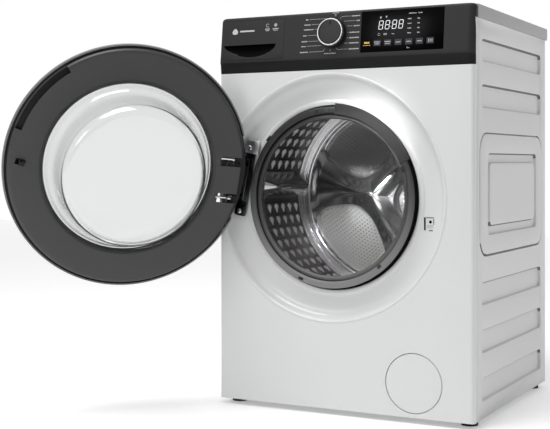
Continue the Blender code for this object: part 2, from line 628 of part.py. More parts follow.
        hole = HINGE_FRAME @ Vector((-0.217, 0.0, screw_z))
        for target, radius in ((bracket, 0.0034), (bpy.data.objects["front_panel"], 0.0034)):
            carve(target, rod(f"screw_hole_{tag}_{target.name}", hole + Vector((0, 0.0, 0)),
                              hole + Vector((0, 0.05, 0)),
                              radius, steps=16))
        head = Matrix.Translation(hole) @ Matrix.Rotation(-math.pi / 2, 4, "X")
        turned(f"hinge_screw_{tag}", [(0.0, 0.0130), (0.0040, 0.0130), (0.0058, 0.0150), (0.0058, 0.0153),
                                      (0.0030, 0.0153),
                                      (0.0030, 0.0330), (0.0, 0.0330)], ZINC, head, 16)


# ---------------------------------------------------------------- boot, tub and drum
def build_tub():
    trim = turned("porthole_trim", [(0.1800, 0.0105), (0.1820, 0.0070), (0.1840, 0.0062), (0.1880, 0.0062),
                                    (0.1900, 0.0080), (TRIM_R, 0.0205), (TRIM_R, 0.0218), (0.1945, 0.0218),
                                    (0.1945, 0.0420), (0.1905, 0.0420), (0.1905, 0.0180),
                                    (0.1800, 0.0135)], DARK_GREY, steps=BIG)
    sweep = arc(math.radians(-86), math.radians(-24), 10)
    shield = [(0.2035 * math.cos(a), 0.2035 * math.sin(a)) for a in sweep]
    shield += [(0.1815 * math.cos(a), 0.1815 * math.sin(a)) for a in reversed(sweep)]
    merge(trim, plate("trim_shield", [shield], 0.0024, None, PORTHOLE @ Matrix.Translation((0, 0, 0.0070))))
    boot = [(0.1890, 0.0185), (0.1850, 0.0160), (0.1730, 0.0125), (MOUTH_R + 0.001, 0.0165),
            (0.1720, 0.0230), (0.1860, 0.0330), (0.1860, 0.0440), (COLLAR_R - 0.012, 0.0560),
            (COLLAR_R - 0.010, 0.0640), (COLLAR_R - 0.010, 0.0740)]
    turned("door_gasket", wall(boot, -0.0028), RUBBER, steps=BIG)

    front = turned("tub_front", wall([(COLLAR_R, 0.0620), (COLLAR_R, TUB_FRONT), (TUB_R - 0.012, TUB_FRONT),
                                      (TUB_R, TUB_FRONT + 0.012), (TUB_R, TUB_SPLIT - GAP)], 0.0040),
                   TUB_PLASTIC)
    spigot_x, spigot_y = PORT_X + 0.05, 0.150
    spout = rod("sump_spout", at(spigot_x, spigot_y, 0.215), at(spigot_x, spigot_y, 0.170), 0.022)
    merge(front, spout)
    carve(spout, turned("tub_inside", [(0.0, 0.0), (TUB_R - 0.003, 0.0), (TUB_R - 0.003, 0.4), (0.0, 0.4)]))
    carve(front, rod("sump_bore", at(spigot_x, spigot_y, 0.24), at(spigot_x, spigot_y, 0.15), 0.018))

    inner = TUB_BACK - 0.0045
    rear = turned("tub_rear", [(TUB_R, TUB_SPLIT), (TUB_R, TUB_BACK - 0.012), (TUB_R - 0.012, TUB_BACK),
                               (0.036, TUB_BACK), (0.034, 0.453), (0.0262, 0.453), (0.0262, inner),
                               (TUB_R - 0.014, inner), (TUB_R - 0.0045, inner - 0.0095),
                               (TUB_R - 0.0045, TUB_SPLIT)], TUB_PLASTIC)
    for side in (-1, 1):
        near, far = sorted((PORT_X + side * 0.213, side * (SPRING_X + 0.008)))
        merge(rear, box(f"tub_lug_{side + 1}", (near, SPRING_Y - 0.006, 0.592),
                        (far, SPRING_Y + 0.006, 0.600)))
    carve(rear, box("heater_mouth", (PORT_X - 0.036, 0.39, PORT_Z - 0.2525),
                    (PORT_X + 0.036, 0.43, PORT_Z - 0.2375)))

    # Heater: a rod bent into a U between the drum and the tub, held by a plug in the tub's back.
    leg = 0.024
    floor_r = 0.2485
    drop = math.sqrt(floor_r ** 2 - leg ** 2)
    route = [at(PORT_X + leg, 0.4065, PORT_Z - drop), at(PORT_X + leg, 0.150, PORT_Z - drop),
             at(PORT_X, 0.120, PORT_Z - drop), at(PORT_X - leg, 0.150, PORT_Z - drop),
             at(PORT_X - leg, 0.4065, PORT_Z - drop)]
    heater = tube("heater", bend(route, 0.012, 3), 0.0034, STAINLESS, 1)
    plug = box("heater_plug", (PORT_X - 0.0355, 0.4045, PORT_Z - 0.2520),
               (PORT_X + 0.0355, 0.420, PORT_Z - 0.2395))
    merge(heater, plug)


def build_drum():
    shell = [(DRUM_MOUTH_R - 0.002, DRUM_FRONT + 0.004), (DRUM_MOUTH_R, DRUM_FRONT),
             (DRUM_R - 0.010, DRUM_FRONT), (DRUM_R, DRUM_FRONT + 0.010), (DRUM_R, DRUM_BACK)]
    turned("drum_shell", wall(shell, -0.0015), STAINLESS, steps=BIG)
    rim = DRUM_BACK - 0.004
    dome = [(0.0, rim - DRUM_RISE), (0.035, rim - DRUM_RISE + 0.002), (0.110, rim - 0.050),
            (0.180, rim - 0.022), (DRUM_R - 0.002, rim)]
    turned("drum_back", wall(dome, 0.0020), STAINLESS, steps=BIG)
    for number, angle in enumerate(LIFTER_ANGLES):
        mesh = bpy.data.meshes.new(f"drum_lifter_{number + 1}")
        bm = bmesh.new()
        bmesh.ops.create_cone(bm, cap_ends=True, segments=4, radius1=math.sqrt(0.5),
                              radius2=math.sqrt(0.5) * 0.36,
                              depth=1.0, matrix=Matrix.Rotation(math.pi / 4, 4, "Z"))
        bmesh.ops.transform(bm, verts=bm.verts, matrix=Matrix.Diagonal((0.066, 0.225, 0.044, 1.0)))
        bm.to_mesh(mesh)
        bm.free()
        spin = Matrix.Translation(at(PORT_X, 0.2130, PORT_Z)) @ Matrix.Rotation(-angle - math.pi / 2, 4,
                                                                                "Y")
        add(f"drum_lifter_{number + 1}", mesh, STAINLESS,
            spin @ Matrix.Translation((0.0, 0.0, -0.2270 + 0.022)))

    # Spider, shaft and bearings.
    hub = turned("drum_spider", [(0.0, DRUM_BACK + 0.0030), (0.040, DRUM_BACK + 0.0030), (0.034, 0.4035),
                                 (0.0, 0.4035)],
                 ALUMINIUM, steps=24)
    for number in range(3):
        turn = PORTHOLE @ Matrix.Rotation(math.radians(90 + 120 * number), 4, "Z")
        arm = box(f"spider_arm_{number}", (0.010, -0.017, DRUM_BACK + 0.0030),
                  (0.228, 0.017, DRUM_BACK + 0.0120), None, turn)
        merge(hub, arm)
    turned("drum_shaft", [(0.0, 0.4040), (0.020, 0.4040), (0.020, 0.4075), (SHAFT_R, 0.4075),
                          (SHAFT_R, 0.4880), (0.0, 0.4880)],
           STAINLESS, steps=24)
    for name, start, end in (("bearing_front", 0.4145, 0.4290), ("bearing_rear", 0.4370, 0.4500)):
        turned(name, [(0.0129, start), (0.0257, start), (0.0257, end), (0.0129, end)], ZINC, steps=24)


def build_drive():
    half = 0.0075
    web = 0.002
    turned("drum_pulley", [(0.0130, PULLEY_Y - 0.010), (0.028, PULLEY_Y - 0.010), (0.030, PULLEY_Y - web),
                           (PULLEY_R - 0.008, PULLEY_Y - web), (PULLEY_R - 0.006, PULLEY_Y - half),
                           (PULLEY_R, PULLEY_Y - half), (PULLEY_R, PULLEY_Y + half),
                           (PULLEY_R - 0.006, PULLEY_Y + half), (PULLEY_R - 0.008, PULLEY_Y + web),
                           (0.030, PULLEY_Y + web), (0.028, PULLEY_Y + 0.010),
                           (0.0130, PULLEY_Y + 0.010)], ALUMINIUM, steps=MIDDLE)
    # Belt: the loop round two circles, one above the other, from tangent to tangent.
    span = PORT_Z - MOTOR_Z
    outlines = []
    for clear in (0.0008, 0.0040):
        big, little = PULLEY_R + clear, MOTOR_PULLEY_R + clear
        tangent = math.asin((big - little) / span)
        upper = [(big * math.cos(a), big * math.sin(a)) for a in arc(-tangent, math.pi + tangent, 28)]
        turn = arc(math.pi + tangent, 2 * math.pi - tangent, 8)
        lower = [(little * math.cos(a), -span + little * math.sin(a)) for a in turn]
        outlines.append(upper + lower)
    upright = Matrix.Translation(at(PORT_X, PULLEY_Y, PORT_Z)) @ Matrix.Rotation(math.pi / 2, 4, "X")
    plate("drive_belt", outlines, 0.012, BELT, upright)

    motor = rod("motor", at(PORT_X, 0.270, MOTOR_Z), at(PORT_X, 0.440, MOTOR_Z), 0.062, ALUMINIUM, 28)
    bracket = box("motor_bracket", (PORT_X - 0.050, 0.300, MOTOR_Z + 0.045), (PORT_X + 0.050, 0.400, 0.240))
    carve(bracket, turned("motor_bracket_seat", [(0.0, 0.2), (TUB_R + 0.0006, 0.2), (TUB_R + 0.0006, 0.45),
                                                 (0.0, 0.45)],
                          None, steps=MIDDLE))
    merge(motor, bracket)
    carve(motor, rod("motor_bore", at(PORT_X, 0.40, MOTOR_Z), at(PORT_X, 0.45, MOTOR_Z), 0.0070, steps=16))
    turned("motor_pulley", [(0.0, 0.4050), (0.0055, 0.4050), (0.0055, PULLEY_Y - 0.0085),
                            (MOTOR_PULLEY_R, PULLEY_Y - 0.0085),
                            (MOTOR_PULLEY_R, PULLEY_Y + 0.0085), (0.0, PULLEY_Y + 0.0085)], ZINC,
           along_y(PORT_X, 0.0, MOTOR_Z), 20)


def arc(start, end, steps):
    return [start + (end - start) * i / steps for i in range(steps + 1)]


def build_suspension():
    weight = box("counterweight", (-0.118, 0.110, 0.660), (0.150, 0.235, 0.790), CONCRETE)
    carve(weight, turned("counterweight_seat", [(0.0, 0.0), (TUB_R + 0.0006, 0.0), (TUB_R + 0.0006, 0.5),
                                                (0.0, 0.5)],
                         None, steps=MIDDLE))
    turns, coil_r = 5, 0.011
    low, high = 0.628, 0.770
    for tag, x in (("left", -SPRING_X), ("right", SPRING_X)):
        coil = [at(x + coil_r * math.cos(a), SPRING_Y + coil_r * math.sin(a),
                   low + (high - low) * a / (2 * math.pi * turns))
                for a in arc(0.0, 2 * math.pi * turns, turns * 8)]
        route = [at(x, SPRING_Y, 0.6015), at(x, SPRING_Y, low - 0.010)] + coil
        route += [at(x, SPRING_Y, high + 0.010), at(x, SPRING_Y, 0.7945)]
        tube(f"suspension_spring_{tag}", route, 0.0016, ZINC, 1)
    for tag, side, foot_x, top_x in (("left", -1, -0.245, -0.200), ("right", 1, 0.187, 0.142)):
        low, high = at(foot_x, 0.345, 0.012), at(top_x, 0.345, 0.222)
        run = (high - low).normalized()
        body = rod(f"damper_{tag}", low + run * 0.010, low + run * 0.120, 0.0140, BLACK, 16)
        merge(body, rod(f"damper_rod_{tag}", low + run * 0.08, high, 0.0060, steps=16))


def build_water():
    # Drain pump with its filter housing, reached through the hatch.
    frame = along_y(HATCH_X, 0.0, HATCH_Z)
    pump = turned("drain_pump", [(FILTER_R + 0.0006, 0.020), (0.042, 0.020), (0.042, 0.150),
                                 (0.030, 0.155), (0.030, 0.215), (0.0, 0.215),
                                 (0.0, 0.125), (FILTER_R + 0.0006, 0.125)], TUB_PLASTIC, frame, 28)
    merge(pump, box("pump_foot", (HATCH_X - 0.030, 0.060, SHEET + GAP), (HATCH_X + 0.030, 0.140, 0.040)))
    inlet = rod("pump_inlet", at(HATCH_X - 0.030, 0.150 - 0.015, HATCH_Z + 0.015),
                at(0.1010, 0.135, 0.1060), 0.016)
    merge(pump, inlet)
    carve(inlet, rod("pump_inlet_trim", at(HATCH_X, 0.0, HATCH_Z), at(HATCH_X, 0.2, HATCH_Z), 0.038,
                     steps=28))
    plug = turned("filter_plug", [(0.0, 0.014), (0.030, 0.014), (FILTER_R, 0.018), (FILTER_R, 0.032),
                                  (0.028, 0.034), (0.028, 0.115),
                                  (0.0, 0.115)], BLACK, frame, 28)
    merge(plug, box("plug_handle", (HATCH_X - 0.028, 0.0065, HATCH_Z - 0.005),
                    (HATCH_X + 0.028, 0.020, HATCH_Z + 0.005)))
    hatch = turned("filter_hatch", [(0.0, 0.0), (HATCH_R - 0.0008, 0.0), (HATCH_R, 0.0008),
                                    (HATCH_R, 0.0022), (0.0, 0.0022)],
                   WHITE, frame, MIDDLE)
    merge(hatch, box("hatch_knuckle", (HATCH_X - HATCH_R + 0.0045, 0.0015, HATCH_Z - 0.012),
                     (HATCH_X - HATCH_R + 0.0125, 0.0055, HATCH_Z + 0.012)))

    spout = at(PORT_X + 0.05, 0.150, 0.1694)
    hose = [spout, at(PORT_X + 0.05, 0.150, 0.1400), at(0.0748, 0.135, 0.1206), at(0.1000, 0.135, 0.10656)]
    tube("sump_hose", bend(hose, 0.012, 4), 0.0155, RUBBER, 2)

    # Inlet valve, and the hose to the drawer's housing.
    valve = box("inlet_valve", (VALVE_X - 0.022, 0.478, VALVE_Z - 0.022),
                (VALVE_X + 0.022, DEPTH - SHEET - 0.0015, VALVE_Z + 0.022), DARK_GREY)
    merge(valve, rod("valve_spigot", at(VALVE_X, 0.53, VALVE_Z), at(VALVE_X, DEPTH + 0.024, VALVE_Z),
                     0.0128))
    carve(valve, rod("valve_bore", at(VALVE_X, 0.545, VALVE_Z), at(VALVE_X, DEPTH + 0.05, VALVE_Z), 0.0085))
    merge(valve, rod("valve_outlet", at(VALVE_X, 0.495, VALVE_Z), at(VALVE_X - 0.035, 0.495, VALVE_Z),
                     0.007, steps=12))
    line = [at(VALVE_X - 0.036, 0.495, VALVE_Z), at(0.0, 0.495, VALVE_Z), at(-0.215, 0.400, 0.790),
            at(-0.215, 0.2567, 0.790)]
    tube("inlet_hose", bend(line, 0.035, 4), 0.0075, RUBBER, 1)


build_cabinet()
build_feet()
build_control_panel()
build_drawer()
build_door()
build_tub()
build_drum()
build_drive()
build_suspension()
build_water()
bpy.context.view_layer.update()
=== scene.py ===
"""Front load washing machine: the looks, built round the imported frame.

at() takes the machine's own terms: x from the cabinet's middle, y backwards from the front panel's
face, z up from the cabinet's bottom edge, in metres.
"""
import json
import math

import bmesh
import bpy
from mathutils import Matrix, Vector


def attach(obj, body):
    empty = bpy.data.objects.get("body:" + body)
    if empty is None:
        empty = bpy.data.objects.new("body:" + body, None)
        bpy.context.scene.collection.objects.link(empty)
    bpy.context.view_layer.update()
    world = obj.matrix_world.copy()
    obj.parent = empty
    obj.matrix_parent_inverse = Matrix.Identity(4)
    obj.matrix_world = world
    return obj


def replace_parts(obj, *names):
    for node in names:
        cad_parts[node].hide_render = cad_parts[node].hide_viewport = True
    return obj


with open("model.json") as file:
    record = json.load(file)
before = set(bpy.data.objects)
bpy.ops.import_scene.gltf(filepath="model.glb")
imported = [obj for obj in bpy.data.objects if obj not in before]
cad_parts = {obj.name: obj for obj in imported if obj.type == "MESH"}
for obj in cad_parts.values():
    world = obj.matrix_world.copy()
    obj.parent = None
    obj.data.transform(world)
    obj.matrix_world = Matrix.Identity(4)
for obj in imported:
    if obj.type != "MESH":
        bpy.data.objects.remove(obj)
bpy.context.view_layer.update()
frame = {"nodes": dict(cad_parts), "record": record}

# ---------------------------------------------------------------- sizes shared with the frame
HALF = 0.298
DEPTH = 0.541
FOOT = 0.012
SIDE_TOP = 0.8245
TOP = 0.853
PANEL_BOTTOM = 0.7277
LIP = 0.752
OVERHANG = 0.014
PORT_X, PORT_Z = -0.029, 0.453
HINGE_TILT = math.radians(11.0)
HINGE_LEAN = math.radians(3.0)
HINGE_REACH = 0.235
HINGE_Y = -0.014
DOOR_OPEN = math.radians(133.4)
DOOR_CHORD = 0.2475
ARM_MIDDLE, ARM_PITCH = -0.0055, 0.083
HATCH_X, HATCH_Z, HATCH_R = 0.167, 0.071, 0.0622
DRAWER = (-0.2941, -0.1374)
DIAL_X, DIAL_Z, DIAL_R = -0.0193, 0.806, 0.0315
DISPLAY = (0.047, 0.2325, 0.7605, 0.8485)
HOOK_REACH, HOOK_ANGLE = 0.231, math.radians(-13.0)
HOOK_X = PORT_X + HOOK_REACH * math.cos(HOOK_ANGLE)
HOOK_Z = PORT_Z + HOOK_REACH * math.sin(HOOK_ANGLE)
SLOPE = 0.011 / (TOP - 0.004 - LIP)
LEAN = math.atan(SLOPE)                      # the control panel's face leans back this far
PULL_MIDDLE, PULL_HALF, PULL_LOW, PULL_TOP = -0.2225, 0.0665, 0.76, 0.7905   # the drawer's finger pull
PULL_FRONT = -0.02                           # its cutter starts this far in front
KEY_START, KEY_PITCH, KEYS = 0.0618, 0.0236, 7   # the row of touch keys under the display
DIAL_LEADER = 0.0362                         # the dial scale's lines end this far from its middle
LEADER_WIDTH, SCALE_TEXT = 0.00055, 0.0026   # the scale's line width and the height of its captions
SCALE_END = 0.0432                           # the captions on the right all end here
FACE_LEVELS = (0.77, 0.79, 0.81, 0.83)       # heights at which the sloping face is drawn
ROUND = 128                                  # facets of the large turned pieces
ROUGH_SWING = 0.12                           # how far a finish's roughness strays from its middle


def at(x, y, z):
    return Vector((x, y - DEPTH / 2, z + FOOT))


HERE = Matrix.Translation(at(0, 0, 0))        # the machine's own terms, as a frame


def along_y(x, y, z):
    """Frame whose local Z runs backwards through the machine; local X stays right, local Y is down."""
    return Matrix.Translation(at(x, y, z)) @ Matrix.Rotation(-math.pi / 2, 4, "X")


def face_y(z):
    return -0.002 + SLOPE * (z - LIP)


PORTHOLE = along_y(PORT_X, 0.0, PORT_Z)
HATCH = along_y(HATCH_X, 0.0, HATCH_Z)
UPRIGHT = Matrix.Rotation(math.pi / 2, 4, "X")
AXIS = Vector((math.sin(HINGE_TILT) * math.cos(HINGE_LEAN), -math.sin(HINGE_LEAN),
    math.cos(HINGE_TILT) * math.cos(HINGE_LEAN)))
HINGE = at(PORT_X - HINGE_REACH * math.cos(HINGE_TILT), HINGE_Y, PORT_Z + HINGE_REACH * math.sin(HINGE_TILT))
OPENED = Matrix.Translation(HINGE) @ Matrix.Rotation(-DOOR_OPEN, 4, AXIS) @ Matrix.Translation(-HINGE)
HINGE_FRAME = Matrix.Translation(at(PORT_X, 0.0, PORT_Z)) @ Matrix.Rotation(HINGE_TILT, 4, "Y")
AXIS_FRAME = Matrix.Translation(HINGE) @ Matrix.Rotation(HINGE_TILT, 4, "Y")


# ---------------------------------------------------------------- materials
def put(node, **values):
    """Set a node's inputs by name; an underscore in a name stands for a space."""
    for key, value in values.items():
        node.inputs[key.replace("_", " ")].default_value = value
    return node


def nodes_of(name):
    made = bpy.data.materials.new(name)
    made.use_nodes = True
    return made, made.node_tree, made.node_tree.nodes["Principled BSDF"]


def coordinates(tree, scale):
    where = tree.nodes.new("ShaderNodeTexCoord")
    stretch = put(tree.nodes.new("ShaderNodeMapping"), Scale=scale)
    tree.links.new(where.outputs["Object"], stretch.inputs["Vector"])
    return stretch.outputs["Vector"]


def noise(tree, vector, scale, detail=3.0):
    made = put(tree.nodes.new("ShaderNodeTexNoise"), Scale=scale, Detail=detail)
    tree.links.new(vector, made.inputs["Vector"])
    return made.outputs["Fac"]


def ranged(tree, value, low, high):
    made = put(tree.nodes.new("ShaderNodeMapRange"), From_Min=0.3, From_Max=0.7, To_Min=low, To_Max=high)
    tree.links.new(value, made.inputs["Value"])
    return made.outputs["Result"]


def grey(tone):
    return (tone, tone, tone)


def scaled(color, factor):
    return (*[min(1.0, c * factor) for c in color], 1)


def finish(name, color, rough, metallic=0.0, tone=0.04, grain=600.0, depth=0.00004, stretch=(1, 1, 1),
        patch=9.0, **shader_values):
    """A moulded, painted or metal surface: slow tone and gloss changes, and a fine grain in its relief."""
    made, tree, shader = nodes_of(name)
    vector = coordinates(tree, stretch)
    mix = tree.nodes.new("ShaderNodeMix")
    mix.data_type = "RGBA"
    put(mix, A=scaled(color, 1 - tone), B=scaled(color, 1 + tone))
    tree.links.new(noise(tree, vector, patch, 2.0), mix.inputs["Factor"])
    tree.links.new(mix.outputs["Result"], shader.inputs["Base Color"])
    fine = noise(tree, vector, grain, 2.0)
    swing = ranged(tree, fine, rough * (1 - ROUGH_SWING), min(1.0, rough * (1 + ROUGH_SWING)))
    tree.links.new(swing, shader.inputs["Roughness"])
    if depth:
        relief = put(tree.nodes.new("ShaderNodeBump"), Strength=0.6, Distance=depth)
        tree.links.new(fine, relief.inputs["Height"])
        tree.links.new(relief.outputs["Normal"], shader.inputs["Normal"])
    put(shader, Metallic=metallic, **shader_values)
    return made


def lit(name, color, strength):
    """Printed or lit marks: pale ink with a little glow."""
    return finish(name, color, 0.5, tone=0.06, grain=900.0, Emission_Color=(*color, 1),
        Emission_Strength=strength)


def painted_light_graded(name, first, last, low, high, rough, **extra):
    """Painted sheen and shade: a finish that turns from one tone to another along the piece's own Y."""
    made = finish(name, first, rough, **extra)
    tree = made.node_tree
    mix = next(node for node in tree.nodes if node.bl_idname == "ShaderNodeMix")
    place = tree.nodes.new("ShaderNodeTexCoord")
    split = tree.nodes.new("ShaderNodeSeparateXYZ")
    tree.links.new(place.outputs["Object"], split.inputs["Vector"])
    ramp = put(tree.nodes.new("ShaderNodeMapRange"), From_Min=low, From_Max=high)
    ramp.interpolation_type = "SMOOTHSTEP"
    tree.links.new(split.outputs["Y"], ramp.inputs["Value"])
    tree.links.new(ramp.outputs["Result"], mix.inputs["Factor"])
    put(mix, A=(*first, 1), B=(*last, 1))
    return made


WHITE = finish("white_enamel_paint", (0.69, 0.695, 0.695), 0.34, grain=220.0, depth=0.00003, tone=0.012,
    Coat_Weight=0.25)
SIDE = finish("pale_grey_enamel_paint", grey(0.65), 0.5, grain=260.0, depth=0.00004, tone=0.015)
# Painted shade: a dark copy of the side enamel for the pockets' down-facing slopes, where shade falls.
SIDE_PAINTED_SHADE = finish("pale_grey_enamel_painted_shade", grey(0.13), 0.6, grain=260.0, tone=0.015)
LID = finish("worktop_paint", grey(0.36), 0.5, grain=300.0, depth=0.00005, tone=0.02)
PANEL = finish("panel_black_plastic", (0.021, 0.021, 0.022), 0.5, grain=1400.0, depth=0.00003,
    Specular_IOR_Level=0.22)
# Painted shade: a darker copy of the panel plastic for the down-facing band under the lip.
PANEL_LIP_SHADE = finish("panel_lip_painted_shade", (0.007, 0.007, 0.008), 0.5, grain=1400.0, depth=0.00003,
    Specular_IOR_Level=0.2)
BLACK = finish("black_plastic_moulding", (0.01, 0.01, 0.011), 0.45, grain=1200.0, depth=0.00003,
    Specular_IOR_Level=0.25)
# Deep black: the dial pointer's and the dark screen's own colour, and painted shade wherever it fills holes,
# slits, gaps and recesses.
PIT = finish("black_and_painted_shade", grey(0.002), 0.9, grain=900.0, Specular_IOR_Level=0.05)
SCREEN = finish("gloss_black_screen", (0.0012, 0.0012, 0.0014), 0.2, grain=80.0, depth=0.0, tone=0.1,
    Specular_IOR_Level=0.06)
KNOB = finish("knob_face", (0.016, 0.016, 0.017), 0.45, grain=1500.0, depth=0.00002, Specular_IOR_Level=0.3)
CHROME = finish("chrome_ring", (0.52, 0.53, 0.53), 0.3, 1.0, grain=900.0, depth=0.00001)
RING = finish("door_ring_plastic", (0.042, 0.042, 0.043), 0.42, grain=1300.0, depth=0.00003)
RING_DARK = finish("door_chamfer_plastic", (0.027, 0.027, 0.028), 0.35, grain=1300.0, depth=0.00003)
SHELL = finish("door_shell_lacquer", (0.17, 0.17, 0.175), 0.28, grain=500.0, depth=0.00002, Coat_Weight=0.3)
TRIM = finish("trim_plastic", grey(0.036), 0.5, grain=1200.0, depth=0.00003, Specular_IOR_Level=0.3)
# Painted shade: the boot is dark at the top and turns lighter towards the bottom, where it faces the light.
RUBBER = painted_light_graded("boot_rubber_painted_shade", grey(0.028), grey(0.12), -0.05, 0.17, 0.5, grain=700.0, depth=0.00006)
SHIELD = finish("shield_plastic", grey(0.018), 0.55, grain=1200.0, depth=0.00003, Specular_IOR_Level=0.18)
# Painted sheen: the trim ring is near black at the top and turns lighter at the bottom, where it catches the
# light.
RING_TRIM = painted_light_graded("trim_ring_painted_sheen", grey(0.01), grey(0.2), -0.1, 0.19, 0.42, grain=1200.0, depth=0.00003)
DARK_RUBBER = finish("dark_rubber", grey(0.012), 0.6, grain=700.0, depth=0.00006)
STEEL = finish("drum_steel", grey(0.48), 0.2, 1.0, grain=420.0, depth=0.0, stretch=(1, 1, 0.06))
# Painted shade: the drum's own stainless, darkened between the bumps so the bumps stand out.
WALL_SHADE_STEEL = finish("drum_wall_painted_shade", (0.095, 0.095, 0.093), 0.3, 0.9, grain=420.0, depth=0.0,
    stretch=(1, 1, 0.06))
# Painted highlight: the bumps' steel is drawn near white and almost unmetallic, for the light they catch.
BUMP_HIGHLIGHT_STEEL = finish("drum_bump_painted_highlight", (0.98, 0.98, 0.97), 0.22, 0.1, grain=420.0, depth=0.0)
# Painted highlight: the back's arms and the drum's corner are drawn in a brighter steel than the rest of the
# drum, so their highlights read stronger.
BACK_STEEL = finish("drum_back_steel_painted_highlight", (0.9, 0.9, 0.91), 0.2, 1.0, grain=380.0, depth=0.0,
    stretch=(1, 0.05, 1))
# Partly the perforated field's own duller look, partly painted shade: the pressed fields are drawn in a
# darker copy of the back's steel.
FIELD_SHADE_STEEL = finish("drum_field_painted_shade", grey(0.46), 0.5, 0.5, grain=420.0, depth=0.0)
# Painted highlight: the perforations' rims are drawn near white, to catch the light.
RIM_STEEL = finish("perforation_rim_painted_highlight", grey(0.95), 0.4, 0.6, grain=900.0, depth=0.0)
DARK_STEEL = finish("bracket_dark_steel", (0.1, 0.105, 0.11), 0.18, 1.0, grain=500.0, depth=0.00002)
ARM_STEEL = finish("arm_steel", (0.72, 0.71, 0.69), 0.3, 1.0, grain=500.0, depth=0.00003, stretch=(1, 1, 0.1))
ZINC = finish("zinc_plate_steel", (0.5, 0.5, 0.52), 0.35, 1.0, grain=300.0, depth=0.00004)
GALVANISED = finish("galvanised_sheet", (0.52, 0.53, 0.54), 0.42, 1.0, tone=0.12, patch=60.0, grain=300.0)
CAST = finish("cast_aluminium_rough", grey(0.55), 0.55, 1.0, grain=500.0, depth=0.0001)
TUB = finish("tub_moulding", (0.55, 0.55, 0.53), 0.5, grain=700.0, depth=0.00005)
STONE = finish("cast_concrete", (0.38, 0.38, 0.36), 0.92, tone=0.18, patch=45.0, grain=350.0, depth=0.0006)
BOARD = finish("solder_mask", (0.02, 0.14, 0.05), 0.4, grain=500.0)
INK = lit("pale_ink", grey(0.5), 0.0)
GLOW = lit("display_glow", (0.75, 0.76, 0.78), 0.6)
DIM = lit("display_dim", (0.34, 0.35, 0.37), 0.4)
KEY_FIELD = lit("key_field", (0.008, 0.008, 0.013), 0.1)
GOLD = lit("gold_ink", (0.65, 0.42, 0.05), 0.35)

GLASS, glass_tree, glass_shader = nodes_of("clear_moulded_glass")
put(glass_shader, Base_Color=(0.88, 0.885, 0.885, 1), Transmission_Weight=1.0, IOR=1.45)
glass_grain = noise(glass_tree, coordinates(glass_tree, (1, 1, 1)), 30.0)
glass_tree.links.new(ranged(glass_tree, glass_grain, 0.0, 0.03), glass_shader.inputs["Roughness"])


# ---------------------------------------------------------------- mesh helpers
def linked(name, data):
    item = bpy.data.objects.new(name, data)
    bpy.context.scene.collection.objects.link(item)
    return item


def new_piece(name, mesh, material, body, slot, where, smooth=40.0):
    item = linked(name, mesh)
    item.matrix_world = where
    mesh.materials.append(material)
    if smooth:
        mesh.shade_smooth()
        mesh.set_sharp_from_angle(angle=math.radians(smooth))
    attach(item, body)
    return item


def second_finish(mesh, material, chosen):
    """Give a second material to the faces that a test picks."""
    mesh.materials.append(material)
    for face in mesh.polygons:
        if chosen(face):
            face.material_index = len(mesh.materials) - 1


def tidied(mesh, weld=True):
    """Outward normals, and no doubled points."""
    bm = bmesh.new()
    bm.from_mesh(mesh)
    if weld:
        bmesh.ops.remove_doubles(bm, verts=bm.verts, dist=0.000005)
    bmesh.ops.recalc_face_normals(bm, faces=bm.faces)
    bm.to_mesh(mesh)
    bm.free()
    return mesh


def mesh_of(name, verts, faces, weld=True):
    mesh = bpy.data.meshes.new(name)
    mesh.from_pydata([tuple(v) for v in verts], [], faces)
    return tidied(mesh, weld)


def lattice(rows, columns, rows_meet=False, columns_meet=False):
    """Quads of a sheet whose points are listed row by row; its ends may meet."""
    faces = []
    for i in range(rows if rows_meet else rows - 1):
        a, b = i * columns, (i + 1) % rows * columns
        for j in range(columns if columns_meet else columns - 1):
            k = (j + 1) % columns
            faces.append((a + j, b + j, b + k, a + k))
    return faces


def lathe(name, profile, steps=ROUND, closed=True, span=(0.0, 2 * math.pi)):
    """Mesh turned round local Z from (radius, height) points; a part turn gets flat ends."""
    full = abs(span[1] - span[0]) > 2 * math.pi - 1e-6
    count = steps if full else steps + 1
    verts = []
    for i in range(count):
        angle = span[0] + (span[1] - span[0]) * i / steps
        verts += [(r * math.cos(angle), r * math.sin(angle), h) for r, h in profile]
    size = len(profile)
    faces = lattice(count, size, full, closed)
    if closed and not full:
        faces.append(tuple(range(size)))
        faces.append(tuple(reversed(range((count - 1) * size, count * size))))
    faces = [tuple(dict.fromkeys(f)) for f in faces]
    return mesh_of(name, verts, [f for f in faces if len(f) > 2])


def turned(name, profile, material, body, slot, where=PORTHOLE, steps=ROUND, closed=True, smooth=40.0):
    return new_piece(name, lathe(name, profile, steps, closed), material, body, slot, where, smooth)


def rounded(width, height, radius, steps=6, middle=(0.0, 0.0)):
    points = []
    for corner, (sx, sy) in enumerate(((1, 1), (-1, 1), (-1, -1), (1, -1))):
        for i in range(steps + 1):
            angle = math.pi / 2 * (corner + i / steps)
            points.append((middle[0] + sx * (width / 2 - radius) + radius * math.cos(angle),
                middle[1] + sy * (height / 2 - radius) + radius * math.sin(angle)))
    return points


def circle(radius, steps):
    turns = [2 * math.pi * i / steps for i in range(steps)]
    return [(radius * math.cos(turn), radius * math.sin(turn)) for turn in turns]


